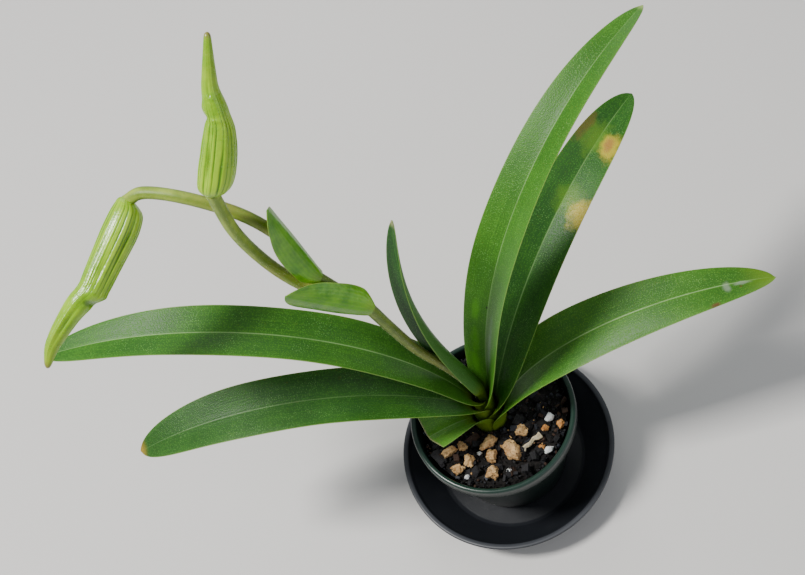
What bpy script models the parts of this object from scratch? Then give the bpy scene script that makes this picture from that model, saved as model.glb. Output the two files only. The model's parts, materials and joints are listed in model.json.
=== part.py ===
"""A slipper orchid in bud, growing in a round nursery pot that stands on a saucer."""

import math
import random
from dataclasses import dataclass

import bmesh
import bpy
from mathutils import Matrix, Vector

# Lengths are millimetres in the constants and the shape functions. MM turns them into metres.
MM = 0.001
# Clear distance between two pieces that touch on the real plant
GAP = 0.35

# Saucer and pot
SAUCER_RADIUS = 69.0
SAUCER_HEIGHT = 24.0
SAUCER_FOOT_RADIUS = 47.0
SAUCER_FLOOR = 2.2
POT_RIM_RADIUS = 51.0
POT_TOP = 79.0
POT_RIM_DEPTH = 9.0
POT_FOOT_RADIUS = 35.0
POT_WALL = 1.4
POT_SHOULDER_RADIUS = 48.2
DRAIN_HOLES = 5
DRAIN_RADIUS = 4.0
ROUND_SIDES = 40

# Potting mix and what lies on it
MIX_TOP = 70.0
MIX_SIDES = 40
CHUNKS = 56
CHUNK_SIZE = (3.2, 5.6)

# The plant's middle, from which the leaves open in two ranks along X
STEM_X, STEM_Y = -2.0, 2.0
STEM_FOOT = 65.0
ROOTSTOCK_FOOT = 57.0
SHEATH_WALL = 0.6
SHEATH_STEP = 0.95
SHEATH_CORE = 3.25
KEEL_REACH = 1.5
SHEATH_ARM = 3.0
# Length over which a blade's section leaves the round of its sheath
SHEATH_RELEASE = 15.0

# Flower stalk: the middle line of the stem, then of each flower's own stem
STALK_RADIUS = (2.4, 2.4, 2.6, 3.2, 3.0)
STALK_PATH = (
    (-2, 2, 66), (-2.2, 2, 90), (-3, 2.1, 114), (-8.2, 2.6, 141), (-14.7, 4.6, 162), (-22.1, 8.6, 180),
    (-29, 12.6, 209), (-34.5, 16.2, 234), (-41.5, 20.5, 248), (-48, 25.5, 261),
)
PEDICEL_1_PATH = (
    (-45, 23.5, 247), (-52, 28, 250), (-58.5, 32.2, 255.4), (-66.8, 39, 274.5), (-71.2, 41.6, 304.5),
    (-70, 43, 331),
)
PEDICEL_2_PATH = (
    (-49.4, 26.8, 264.5), (-51.5, 31.5, 279), (-55.5, 38.6, 292.4), (-65.8, 47.6, 307), (-84, 60, 320),
    (-106, 76, 322),
)

# Materials: base colour, roughness, metallic
PLASTIC_BLACK = ("saucer_plastic", (0.012, 0.013, 0.015), 0.35, 0.0)
PLASTIC_GREEN = ("pot_plastic", (0.02, 0.06, 0.035), 0.32, 0.0)
BARK = ("potting_bark", (0.02, 0.017, 0.015), 0.9, 0.0)
PUMICE = ("tan_stone", (0.55, 0.36, 0.18), 0.85, 0.0)
PERLITE = ("white_perlite", (0.85, 0.85, 0.8), 0.85, 0.0)
ROOT = ("pale_root", (0.62, 0.52, 0.34), 0.7, 0.0)
SHEATH = ("stem_green", (0.3, 0.4, 0.08), 0.45, 0.0)
LEAF = ("leaf_green", (0.07, 0.22, 0.03), 0.4, 0.0)
LEAF_DARK = ("leaf_dark_green", (0.04, 0.15, 0.02), 0.4, 0.0)
STALK = ("stalk_olive_green", (0.28, 0.38, 0.08), 0.5, 0.0)
BRACT = ("bract_green", (0.16, 0.38, 0.04), 0.4, 0.0)
BUD = ("bud_yellow_green", (0.42, 0.58, 0.09), 0.45, 0.0)


@dataclass(frozen=True)
class Blade:
    """A leaf or a bract. Angles are degrees, and a heading is counted from +X towards +Y."""

    name: str
    foot: tuple  # where the keel leaves the sheath or the stalk
    heading: float  # side that the keel faces at the foot
    turn: float  # change of heading out to the tip
    rise: float  # slope of the midrib near the foot
    droop: float  # slope at the tip
    bend: float  # above 1 keeps the curve for the outer part
    length: float
    width: float
    roll: float = 0.0  # lean of the blade round its midrib, growing from none at the foot
    facing: float = 0.0  # turn of the whole blade round its midrib
    fold: float = 16.0  # lift of each half above flat
    tip: float = 5.0  # higher keeps the width further out
    lean: float = 0.0  # sideways slope of the whole midrib
    cup: float = 3.0  # width of the rounded fold at the midrib
    wall: float = 0.9
    wave: float = 0.4
    waves: float = 3.0
    cut: float = 1.0  # share of the length that is left
    sheath: float = 0.0  # inner radius of the sheath round the stem, 0 for none
    settle: float = 0.12  # share of the length over which the heading turns
    taper: float = 0.0  # narrowing from the widest place out to the tip
    neck: float = 0.75  # width at the foot as a share of the widest
    closed: float = 80.0  # fold at the foot
    opening: float = 0.09  # share of the length over which the fold opens
    material: tuple = LEAF
    stations: int = 23


def keel(side, layer):
    """Keel of a sheath: its place beside the stem's middle, and the sheath's half thickness."""
    half = SHEATH_CORE + SHEATH_STEP * layer
    return STEM_X + side * (KEEL_REACH + half), half


def leaf(name, side, layer, departs, **shape):
    """A leaf of the fan: side is 1 or -1, layer counts the sheaths from the stalk outwards."""
    x, half = keel(side, layer)
    return Blade(name, (x, STEM_Y, departs), 0.0 if side > 0 else 180.0, sheath=half, **shape)


LEAVES = (
    leaf("leaf_young", 1, 0, 112, turn=25, rise=102.5, droop=72, bend=1.5, length=177, width=22,
         fold=52, lean=11, tip=2.2, cup=5, wave=0.0, neck=1.25, closed=68, opening=0.6, settle=0.06,
         material=LEAF_DARK),
    leaf("leaf_left_upper", -1, 1, 103, turn=-23, rise=80, droop=-20, bend=1.0, length=280, width=31,
         fold=14, tip=6.0, wave=0.5, settle=0.05, opening=0.03),
    leaf("leaf_right_tall", 1, 2, 95, turn=23, rise=84, droop=-4, bend=1.5, length=280, width=31,
         roll=-7, fold=20, tip=4.7, wave=0.3, opening=0.05),
    leaf("leaf_left_lower", -1, 3, 92.5, turn=-15.5, rise=62.5, droop=-29, bend=0.91, length=222, width=33,
         roll=-10, fold=15, tip=6.9, wave=0.6, settle=0.08, neck=0.66, opening=0.06, material=LEAF_DARK),
    leaf("leaf_right_spotted", 1, 4, 86, turn=30, rise=76, droop=-8, bend=1.0, length=219, width=32,
         roll=19, fold=19, tip=6.7, wave=0.4, opening=0.06, material=LEAF_DARK),
    leaf("leaf_cut_stub", -1, 5, 77, turn=13, rise=36, droop=0, bend=0.8, length=92, width=32,
         fold=27, cut=0.39, wave=0.2, stations=12, opening=0.16),
    leaf("leaf_right_low", 1, 6, 75, turn=-14, rise=62, droop=-18, bend=1.0, length=199, width=35,
         roll=15, fold=15, tip=4.9, wave=2.6, waves=1.1, taper=0.22, opening=0.07),
)

BRACTS = (
    Blade("bract_lower", (-32.3, 9.5, 234.6), 166, 0, 42, 52, 1.0, 50, 27, facing=102, fold=38, closed=58,
          tip=2.8, cup=7.4, wall=0.8, wave=0.3, waves=2, neck=0.72, opening=0.4, material=BRACT, stations=14),
    Blade("bract_upper", (-45.5, 24, 263.5), -26, 0, 107, 97, 1.0, 53, 26, fold=50, tip=2.8, cup=7.5,
          lean=16, wall=0.8, wave=0.3, waves=2, neck=0.72, opening=0.4, material=BRACT, stations=14),
)


@dataclass(frozen=True)
class Bud:
    """A bud. Its outline and its sway are read against the share of its length."""

    name: str
    foot: tuple
    aim: tuple  # point that the tip reaches
    side: tuple  # direction in which the body bulges
    outline: tuple  # half widths
    sway: tuple  # shifts of the middle line to the bulging side


BUDS = (
    Bud(
        "bud_upright", (-70.4, 42.9, 333.4), (-37, 74, 393), (0.9, -0.4, -0.25),
        outline=(
            (0, 3.2), (0.03, 6), (0.09, 8.2), (0.2, 8.6), (0.34, 8), (0.44, 6.7), (0.5, 5.5),
            (0.57, 5.4), (0.68, 3.8), (0.8, 3), (0.92, 1.9), (0.98, 1.3), (1, 0.8),
        ),
        sway=((0, 0), (0.12, 2.1), (0.28, 3.6), (0.46, 4.4), (0.57, 2.6), (0.68, 0.4), (0.8, 0.2), (1, 0)),
    ),
    Bud(
        "bud_nodding", (-109.5, 76.5, 320), (-180, 30, 292), (0.6, -0.67, -0.4),
        outline=(
            (0, 3.2), (0.03, 6.2), (0.09, 8), (0.18, 8.7), (0.34, 8), (0.46, 7.5), (0.54, 7),
            (0.6, 6.6), (0.69, 5.3), (0.8, 4.4), (0.9, 3.3), (0.97, 2.1), (1, 1),
        ),
        sway=(
            (0, 0.5), (0.05, 3.4), (0.15, 4), (0.36, 4), (0.53, 4.2), (0.6, 1.2), (0.69, -0.7),
            (0.8, -1.9), (0.9, -2.3), (1, 0),
        ),
    ),
)
BUD_RIBS = 11
BUD_RIB_DEPTH = 0.35

# Tan stones: x, y, half length, half width, half height, turn
STONES = (
    (-10, -13.5, 6.4, 3.4, 3.4, 20), (-25, -8, 3.3, 3.6, 3.0, 40), (-34, -7, 5.2, 3.0, 3.0, 10),
    (-25, -18.5, 4.4, 3.7, 3.2, 70), (-34, -20, 3.8, 3.4, 3.0, 0), (-12, -23, 4.3, 4.3, 3.8, 30),
    (-16, -32, 4.2, 4.8, 3.6, 80), (0, -26, 5.4, 7.6, 5.6, 5), (11, -17, 4.0, 4.8, 4.0, 50),
    (24, -22, 2.6, 2.2, 2.2, 0), (17, -32, 2.4, 2.0, 2.0, 30), (34, -24, 3.0, 2.2, 2.2, 60),
)
PERLITES = (
    (29.5, -17, 3.4, 2.8, 2.6, 30), (20, -35.5, 3.8, 2.2, 2.2, 10), (-7, -35.5, 1.8, 1.6, 1.6, 0),
    (-31, -27, 1.7, 1.5, 1.5, 0), (-18, -17, 1.6, 1.4, 1.4, 0),
)
ROOT_PATH = ((6.5, -26, 74.6), (10, -28.5, 74.4), (15, -28.5, 74.2), (20, -26.5, 74.2))
ROOT_RADIUS = 1.3


def clear_scene():
    for old in list(bpy.data.objects):
        bpy.data.objects.remove(old, do_unlink=True)


def material(spec):
    """The Principled material of a finish, made once."""
    name, colour, roughness, metallic = spec
    made = bpy.data.materials.get(name)
    if made is None:
        made = bpy.data.materials.new(name)
        made.use_nodes = True
        shader = made.node_tree.nodes["Principled BSDF"]
        shader.inputs["Base Color"].default_value = (*colour, 1.0)
        shader.inputs["Roughness"].default_value = roughness
        shader.inputs["Metallic"].default_value = metallic
        made.diffuse_color = (*colour, 1.0)
    return made


def mesh_object(name, points, faces, spec):
    """A closed mesh object from millimetre points, with its faces turned outwards."""
    mesh = bpy.data.meshes.new(name)
    mesh.from_pydata([tuple(Vector(p) * MM) for p in points], [], faces)
    shape = bmesh.new()
    shape.from_mesh(mesh)
    bmesh.ops.recalc_face_normals(shape, faces=shape.faces)
    shape.to_mesh(mesh)
    shape.free()
    mesh.materials.append(material(spec))
    mesh.shade_smooth()
    mesh.set_sharp_from_angle(angle=math.radians(40))
    made = bpy.data.objects.new(name, mesh)
    bpy.context.scene.collection.objects.link(made)
    return made


def apply_modifiers(made):
    """Bakes the modifiers of an object into its mesh."""
    graph = bpy.context.evaluated_depsgraph_get()
    baked = bpy.data.meshes.new_from_object(made.evaluated_get(graph))
    made.modifiers.clear()
    old = made.data
    made.data = baked
    bpy.data.meshes.remove(old)


def combine(made, tools, operation):
    """Joins or cuts an object with helper objects, then removes the helpers."""
    group = bpy.data.collections.new("helpers")
    bpy.context.scene.collection.children.link(group)
    for tool in tools:
        bpy.context.scene.collection.objects.unlink(tool)
        group.objects.link(tool)
    step = made.modifiers.new(operation.lower(), "BOOLEAN")
    step.operation = operation
    step.operand_type = "COLLECTION"
    step.collection = group
    step.solver = "MANIFOLD"
    apply_modifiers(made)
    for tool in tools:
        bpy.data.objects.remove(tool, do_unlink=True)
    bpy.data.collections.remove(group)


def turned(name, outline, spec, sides=ROUND_SIDES):
    """A solid of revolution about Z, from an outline that starts and ends on the axis."""
    points = [(0.0, 0.0, outline[0][1])]
    rings = outline[1:-1]
    for radius, z in rings:
        for i in range(sides):
            angle = 2 * math.pi * i / sides
            points.append((radius * math.cos(angle), radius * math.sin(angle), z))
    points.append((0.0, 0.0, outline[-1][1]))
    last = len(points) - 1
    faces = []
    for i in range(sides):
        j = (i + 1) % sides
        faces.append((0, 1 + j, 1 + i))
        for k in range(len(rings) - 1):
            a, b = 1 + k * sides, 1 + (k + 1) * sides
            faces.append((a + i, a + j, b + j, b + i))
        start = 1 + (len(rings) - 1) * sides
        faces.append((last, start + i, start + j))
    return mesh_object(name, points, faces, spec)


def curve_point(path, t):
    """A point of the smooth curve through the path's points, t from 0 to 1."""
    points = [Vector(p) for p in path]
    points = [2 * points[0] - points[1], *points, 2 * points[-1] - points[-2]]
    spans = len(path) - 1
    k = min(int(t * spans), spans - 1)
    u = t * spans - k
    a, b, c, d = points[k:k + 4]
    square, cube = 2 * a - 5 * b + 4 * c - d, 3 * b - a - 3 * c + d
    return 0.5 * (2 * b + (c - a) * u + square * u**2 + cube * u**3)


def blend(values, t):
    """The value at t on straight runs between evenly spaced values."""
    place = t * (len(values) - 1)
    k = min(int(place), len(values) - 2)
    return values[k] + (values[k + 1] - values[k]) * (place - k)


def frames(path, count):
    """Points along a path with two directions square to it that don't twist."""
    points = [curve_point(path, i / (count - 1)) for i in range(count)]
    side = None
    for i, point in enumerate(points):
        along = (points[min(i + 1, count - 1)] - points[max(i - 1, 0)]).normalized()
        if side is None:
            side = along.orthogonal().normalized()
        side = (side - along * side.dot(along)).normalized()
        yield point, along, side, along.cross(side)


def skin(name, rings, spec):
    """A closed tube through rings of equally many points, with flat ends."""
    sides = len(rings[0])
    points = [p for ring in rings for p in ring]
    faces = [tuple(range(sides)), tuple(range(len(points) - sides, len(points)))]
    for k in range(len(rings) - 1):
        a, b = k * sides, (k + 1) * sides
        for i in range(sides):
            j = (i + 1) % sides
            faces.append((a + i, a + j, b + j))
            faces.append((a + i, b + j, b + i))
    return mesh_object(name, points, faces, spec)


def stem(name, path, radii, spec, count=24, sides=12):
    """A round stem along a path, with its radius read from evenly spaced values."""
    rings = []
    for k, (point, _, side, up) in enumerate(frames(path, count)):
        radius = blend(radii, k / (count - 1))
        angles = [2 * math.pi * i / sides for i in range(sides)]
        rings.append([point + side * radius * math.cos(a) + up * radius * math.sin(a) for a in angles])
    return skin(name, rings, spec)


def midrib(blade, steps=200):
    """Points and directions of the midrib, stepped along its length from the foot to the uncut tip."""
    place = Vector(blade.foot)
    line = []
    for k in range(steps + 1):
        s = k / steps
        heading = math.radians(blade.heading + blade.turn * (1 - math.exp(-s / blade.settle)))
        slope = blade.rise + (blade.droop - blade.rise) * s**blade.bend
        if blade.sheath:
            slope += (90 - blade.rise) * math.exp(-s / 0.04)
        slope = math.radians(slope)
        out = Vector((math.cos(heading), math.sin(heading), 0))
        across = Vector((-math.sin(heading), math.cos(heading), 0))
        lean = math.tan(math.radians(blade.lean)) * (1 - s) * min(s / 0.06, 1)
        along = out * math.cos(slope) + Vector((0, 0, math.sin(slope)))
        line.append((place.copy(), along, across))
        place = place + (along + across * lean) * (blade.length / steps)
    return line


def fold_offset(reach, angle, cup):
    """Sideways and inward shift, and slope, at a distance from the midrib of a rounded fold."""
    angle = max(angle, 1e-3)
    if reach <= cup:
        slope = angle * reach / cup
        return cup / angle * math.sin(slope), cup / angle * (1 - math.cos(slope)), slope
    side = cup / angle * math.sin(angle) + (reach - cup) * math.cos(angle)
    inward = cup / angle * (1 - math.cos(angle)) + (reach - cup) * math.sin(angle)
    return side, inward, angle


# Shares of the half width at which a blade's cross section has points
ACROSS = (0.0, 0.1, 0.4, 0.75, 1.0)


def blade_rows(blade):
    """The upper and lower rows of points of a blade, from its sheath's foot to its tip."""
    line = midrib(blade)
    half_foot = blade.neck * blade.width / 2
    round_cup = math.pi / 2 * blade.sheath
    sheath_half = round_cup + SHEATH_ARM
    stations = []
    if blade.sheath:
        steps = max(2, round((blade.foot[2] - STEM_FOOT) / 10))
        stations = [-(steps - i) / steps for i in range(steps)]
    stations += [blade.cut * i / blade.stations for i in range(blade.stations + 1)]
    upper, lower = [], []
    for s in stations:
        u = max(s, 0.0)
        point, along, across = line[round(u * (len(line) - 1))]
        if s < 0:
            point = point + Vector((0, 0, s * (blade.foot[2] - STEM_FOOT)))
            along = Vector((0, 0, 1))
        inward = along.cross(across)
        roll = math.radians(blade.facing + blade.roll * (1 - (1 - u) ** 3))
        across, inward = (
            across * math.cos(roll) + inward * math.sin(roll),
            inward * math.cos(roll) - across * math.sin(roll),
        )
        fading = math.exp(-u / blade.opening)
        angle = math.radians(blade.fold + (blade.closed - blade.fold) * fading)
        cup = blade.cup
        swell = math.sin(math.pi / 2 * min(u / 0.45, 1))
        half = blade.width / 2 * (blade.neck + (1 - blade.neck) * swell)
        half *= 1 - blade.taper * max(u - 0.35, 0)
        half = max(half * (1 - u**blade.tip) ** 0.6, 0.6)
        wall = blade.wall
        if blade.sheath:
            clasp = math.exp(-u * blade.length / SHEATH_RELEASE)
            angle += math.radians(90 - blade.closed) * clasp
            cup += (round_cup - cup) * clasp
            half += (sheath_half - half_foot) * clasp
            wall += (SHEATH_WALL - wall) * clasp
        row_up, row_low = [], []
        for sign, shares in ((-1, ACROSS[:0:-1]), (1, ACROSS)):
            for share in shares:
                side, lift, slope = fold_offset(share * half, angle, cup)
                ripple = math.sin(2 * math.pi * blade.waves * u - sign * 0.8)
                lift += blade.wave * share**2 * ripple * min(u / 0.2, 1)
                middle = point + across * side * sign + inward * lift
                normal = inward * math.cos(slope) - across * sign * math.sin(slope)
                thick = wall * (1 - 0.25 * share) / 2
                row_up.append(middle + normal * thick)
                row_low.append(middle - normal * thick)
        upper.append(row_up)
        lower.append(row_low)
    return upper, lower


def blade_object(blade):
    """A leaf or a bract as a closed thin solid, with both faces split into triangles alike."""
    upper, lower = blade_rows(blade)
    wide, long = len(upper[0]), len(upper)
    points = [p for row in upper for p in row] + [p for row in lower for p in row]
    under = wide * long
    faces = []
    for i in range(long - 1):
        for j in range(wide - 1):
            a, b = i * wide + j, (i + 1) * wide + j
            c, d = b + 1, a + 1
            if j < (wide - 1) // 2:
                halves = ((a, b, c), (a, c, d))
            else:
                halves = ((a, b, d), (b, c, d))
            faces += halves
            faces += [tuple(under + v for v in reversed(half)) for half in halves]
        for j in (0, wide - 1):
            a, b = i * wide + j, (i + 1) * wide + j
            faces += [(a, b, under + b), (a, under + b, under + a)]
    for i in (0, long - 1):
        for j in range(wide - 1):
            a, b = i * wide + j, i * wide + j + 1
            faces += [(a, b, under + b), (a, under + b, under + a)]
    return mesh_object(blade.name, points, faces, blade.material)


def outline_at(outline, s):
    """The value at s on straight runs between the outline's points."""
    for (s0, r0), (s1, r1) in zip(outline, outline[1:]):
        if s <= s1:
            t = (s - s0) / (s1 - s0)
            return r0 + (r1 - r0) * t
    return outline[-1][1]


def bud_object(bud, count=17):
    """A bud: a ribbed body, a shoulder where the folded sepals step in, and a long beak."""
    foot, aim = Vector(bud.foot), Vector(bud.aim)
    along = (aim - foot).normalized()
    side = Vector(bud.side)
    side = (side - along * side.dot(along)).normalized()
    other = along.cross(side)
    sides = 3 * BUD_RIBS
    rings = []
    for k in range(count + 1):
        s = k / count
        middle = foot.lerp(aim, s) + side * outline_at(bud.sway, s)
        radius = outline_at(bud.outline, s)
        ribs = BUD_RIB_DEPTH * min(s / 0.12, 1) * min((1 - s) / 0.3, 1)
        ring = []
        for i in range(sides):
            angle = 2 * math.pi * i / sides
            reach = radius + ribs * math.cos(BUD_RIBS * angle)
            ring.append(middle + side * reach * math.cos(angle) + other * reach * math.sin(angle))
        rings.append(ring)
    return skin(bud.name, rings, BUD)


def saucer():
    rise = SAUCER_HEIGHT - 3
    outline = (
        (0, 0), (SAUCER_FOOT_RADIUS, 0), (SAUCER_FOOT_RADIUS + 2, 0.8), (SAUCER_RADIUS - 3, rise),
        (SAUCER_RADIUS - 0.8, rise + 0.8), (SAUCER_RADIUS, rise + 1.8),
        (SAUCER_RADIUS - 0.3, SAUCER_HEIGHT - 0.3), (SAUCER_RADIUS - 1.2, SAUCER_HEIGHT),
        (SAUCER_RADIUS - 3.4, SAUCER_HEIGHT - 0.4), (SAUCER_RADIUS - 4.8, rise - 0.2),
        (SAUCER_FOOT_RADIUS + 1.4, SAUCER_FLOOR + 0.9), (SAUCER_FOOT_RADIUS - 1, SAUCER_FLOOR),
        (0, SAUCER_FLOOR),
    )
    return turned("saucer", outline, PLASTIC_BLACK, 56)


def pot():
    foot = SAUCER_FLOOR + GAP
    under_rim = POT_TOP - POT_RIM_DEPTH
    inner = POT_SHOULDER_RADIUS - POT_WALL
    outline = (
        (0, foot + 1), (POT_FOOT_RADIUS - 3, foot + 1), (POT_FOOT_RADIUS - 2, foot),
        (POT_FOOT_RADIUS, foot), (POT_FOOT_RADIUS + 0.6, foot + 1.5),
        (POT_SHOULDER_RADIUS - 0.4, under_rim - 1), (POT_RIM_RADIUS - 0.9, under_rim),
        (POT_RIM_RADIUS, under_rim + 0.8), (POT_RIM_RADIUS, POT_TOP - 1.4),
        (POT_RIM_RADIUS - 0.5, POT_TOP - 0.4), (POT_RIM_RADIUS - 1.6, POT_TOP),
        (POT_RIM_RADIUS - 2.8, POT_TOP - 0.3), (POT_RIM_RADIUS - 3.4, POT_TOP - 1.2),
        (inner, under_rim - 1), (POT_FOOT_RADIUS + 0.6 - POT_WALL, foot + 1 + POT_WALL),
        (0, foot + 1 + POT_WALL),
    )
    made = turned("pot", outline, PLASTIC_GREEN)
    drills = []
    for i in range(DRAIN_HOLES):
        angle = 2 * math.pi * i / DRAIN_HOLES
        place = Vector((math.cos(angle), math.sin(angle), 0)) * POT_FOOT_RADIUS * 0.66
        turns = [math.pi * k / 6 for k in range(12)]
        ring = [place + Vector((math.cos(a), math.sin(a), 0)) * DRAIN_RADIUS for a in turns]
        levels = [[p + Vector((0, 0, z)) for p in ring] for z in (foot - 1, foot + 4)]
        drills.append(skin("drill", levels, PLASTIC_GREEN))
    combine(made, drills, "DIFFERENCE")
    return made


def pebble(name, place, radii, turn, seed, spec, grow=0.0):
    """An angular stone from a ball of flat faces, knocked about by a seeded draw."""
    draw = random.Random(seed)
    shape = bmesh.new()
    bmesh.ops.create_icosphere(shape, subdivisions=1, radius=1)
    spin = Matrix.Rotation(math.radians(turn), 3, "Z")
    tilt = Matrix.Rotation(draw.uniform(-0.35, 0.35), 3, "X")
    points = []
    for vert in shape.verts:
        lump = draw.uniform(0.84, 1.1)
        reach = Vector(tuple(c * lump * r for c, r in zip(vert.co, radii)))
        reach += reach.normalized() * grow
        points.append(Vector(place) + spin @ tilt @ reach)
    faces = [tuple(v.index for v in face.verts) for face in shape.faces]
    shape.free()
    return mesh_object(name, points, faces, spec)


def stadium(half_x, half_y, z, sides=28):
    """A flat ring round the stem: two half circles joined by short straights along X."""
    ring = []
    for i in range(sides):
        angle = 2 * math.pi * (i + 0.5) / sides
        offset = math.copysign(half_x - half_y, math.cos(angle))
        x = STEM_X + offset + half_y * math.cos(angle)
        ring.append(Vector((x, STEM_Y + half_y * math.sin(angle), z)))
    return ring


def lying_pieces(grow=0.0, prefix=""):
    """The stones, the perlite and the dead root that lie in the top of the mix."""
    made = []
    for group, spec, title in ((STONES, PUMICE, "stone"), (PERLITES, PERLITE, "perlite")):
        for i, (x, y, a, b, c, turn) in enumerate(group, 1):
            place = (x, y, MIX_TOP + 1.4 + 0.55 * c)
            name = f"{prefix}{title}_{i:02d}"
            made.append(pebble(name, place, (a, b, c), turn, 100 + i, spec, grow))
    radii = [ROOT_RADIUS + knob + grow for knob in (0.4, 0, 0, 0.6)]
    made.append(stem(prefix + "dead_root", ROOT_PATH, radii, ROOT, count=8, sides=8))
    return made


def potting_mix():
    """Bark and charcoal: a filled cone, chunks sunk in its top, and holes for what stands in it."""
    floor = SAUCER_FLOOR + GAP + 1 + POT_WALL + GAP
    slope = (POT_SHOULDER_RADIUS - 0.4 - POT_FOOT_RADIUS) / (POT_TOP - POT_RIM_DEPTH)
    low = POT_FOOT_RADIUS + 0.6 - POT_WALL - 1.0
    high = low + slope * (MIX_TOP - floor) - 1.0
    outline = ((0, floor), (low, floor), (high, MIX_TOP - 2), (high - 2, MIX_TOP), (0, MIX_TOP))
    made = turned("potting_mix", outline, BARK, MIX_SIDES)
    draw = random.Random(7)
    chunks = []
    for i in range(CHUNKS):
        angle = i * math.pi * (3 - math.sqrt(5))
        size = draw.uniform(*CHUNK_SIZE)
        reach = (high - 1.2 - size) * math.sqrt((i + 0.5) / CHUNKS)
        place = (reach * math.cos(angle), reach * math.sin(angle), MIX_TOP + draw.uniform(-1.2, 0.8))
        radii = (size, size * draw.uniform(0.5, 0.8), size * draw.uniform(0.45, 0.75))
        chunks.append(pebble("chunk", place, radii, draw.uniform(0, 180), 300 + i, BARK))
    combine(made, chunks, "UNION")
    half_y = SHEATH_CORE + SHEATH_STEP * 6 + SHEATH_WALL + GAP
    hole = [stadium(KEEL_REACH + half_y, half_y, z) for z in (ROOTSTOCK_FOOT - GAP, POT_TOP + 10)]
    combine(made, [skin("hole", hole, BARK)], "DIFFERENCE")
    combine(made, lying_pieces(grow=0.4, prefix="bed_"), "DIFFERENCE")
    return made


def rootstock():
    """The short stem under the leaves, standing in its hole."""
    half_y = SHEATH_CORE + SHEATH_STEP * 6
    levels = ((ROOTSTOCK_FOOT, 0.8), (ROOTSTOCK_FOOT + 2, 1.0), (STEM_FOOT - GAP, 1.0))
    rings = [stadium((KEEL_REACH + half_y) * k, half_y * k, z) for z, k in levels]
    return skin("rootstock", rings, SHEATH)


def build():
    clear_scene()
    saucer()
    pot()
    potting_mix()
    lying_pieces()
    rootstock()
    for blade in LEAVES + BRACTS:
        blade_object(blade)
    stem("flower_stalk", STALK_PATH, STALK_RADIUS, STALK, count=26)
    stem("pedicel_lower", PEDICEL_1_PATH, (2.0, 2.9, 3.1, 3.1, 3.2), STALK, count=20)
    stem("pedicel_upper", PEDICEL_2_PATH, (2.6, 3.0, 3.1, 3.0, 3.1), STALK, count=22)
    for bud in BUDS:
        bud_object(bud)


build()
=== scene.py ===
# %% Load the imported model
import json
import math
import random
from dataclasses import dataclass

import bmesh
import bpy
import numpy as np
from mathutils import Matrix, Vector, noise

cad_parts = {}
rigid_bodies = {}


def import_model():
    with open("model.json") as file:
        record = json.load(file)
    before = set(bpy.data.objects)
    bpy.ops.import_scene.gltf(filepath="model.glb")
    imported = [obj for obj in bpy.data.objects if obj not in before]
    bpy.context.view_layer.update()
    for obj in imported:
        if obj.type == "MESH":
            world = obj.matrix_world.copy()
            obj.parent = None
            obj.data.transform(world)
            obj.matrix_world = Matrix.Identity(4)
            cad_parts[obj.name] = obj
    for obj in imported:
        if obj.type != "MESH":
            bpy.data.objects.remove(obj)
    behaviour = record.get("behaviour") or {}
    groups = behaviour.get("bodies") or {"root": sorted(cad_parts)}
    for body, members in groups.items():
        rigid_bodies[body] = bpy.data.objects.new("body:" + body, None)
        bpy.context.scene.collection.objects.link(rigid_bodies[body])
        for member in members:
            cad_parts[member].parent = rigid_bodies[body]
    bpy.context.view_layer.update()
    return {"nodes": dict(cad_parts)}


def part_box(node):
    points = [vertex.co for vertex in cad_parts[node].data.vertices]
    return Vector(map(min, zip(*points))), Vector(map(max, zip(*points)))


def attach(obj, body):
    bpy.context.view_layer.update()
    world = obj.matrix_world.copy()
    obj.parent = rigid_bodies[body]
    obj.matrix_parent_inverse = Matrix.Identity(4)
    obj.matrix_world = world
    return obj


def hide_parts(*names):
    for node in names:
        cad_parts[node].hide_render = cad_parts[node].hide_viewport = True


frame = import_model()
MM = 0.001

# %% [markdown]
# # A slipper orchid in its pot
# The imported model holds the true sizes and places, but its leaves are coarse blades and its
# buds have few faces. This lesson puts finer pieces in the same places. They follow the same
# midribs and outlines, with far more points and with what the coarse solids leave out: the
# channel along a leaf, the grooves of a bud, the down on a stalk, the crumbs of bark.
#
# Shading needs many small sums, such as "pale where the distance from the midrib is under 3%".
# Writing them as nodes by hand is long, so a small class wraps a node's socket and lets Python's
# own + - * / build the Math nodes.

# %% A value in a material
def operator(operation, turned=False):
    """A method that joins two values in one Math node; turned puts the other value first."""

    def join(self, other=None):
        parts = [self] if other is None else [other, self] if turned else [self, other]
        return self.paint.add("ShaderNodeMath", dict(enumerate(parts)), operation=operation)

    return join


class Value:
    """One socket of a material. Arithmetic on it adds Math nodes."""

    __add__, __radd__ = operator("ADD"), operator("ADD", turned=True)
    __sub__, __rsub__ = operator("SUBTRACT"), operator("SUBTRACT", turned=True)
    __mul__, __rmul__ = operator("MULTIPLY"), operator("MULTIPLY", turned=True)
    __truediv__, __rtruediv__ = operator("DIVIDE"), operator("DIVIDE", turned=True)
    __pow__, __abs__, wave = operator("POWER"), operator("ABSOLUTE"), operator("SINE")

    def __init__(self, paint, socket):
        self.paint, self.socket = paint, socket

    def step(self, low, high, start=0.0, end=1.0):
        """A soft step from start, at low, to end, at high."""
        inputs = {"Value": self, "From Min": low, "From Max": high, "To Min": start, "To Max": end}
        return self.paint.add("ShaderNodeMapRange", inputs, interpolation_type="SMOOTHSTEP")


print("a value understands + - * / **, abs, wave and step")

# %% [markdown]
# `Paint` is one material under construction. `add` makes any node and returns its output as a
# Value. The named helpers below it are the few patterns that every surface here uses: a value
# stored on the mesh, noise, small cells, a mix of two colours, and a relief.

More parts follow.
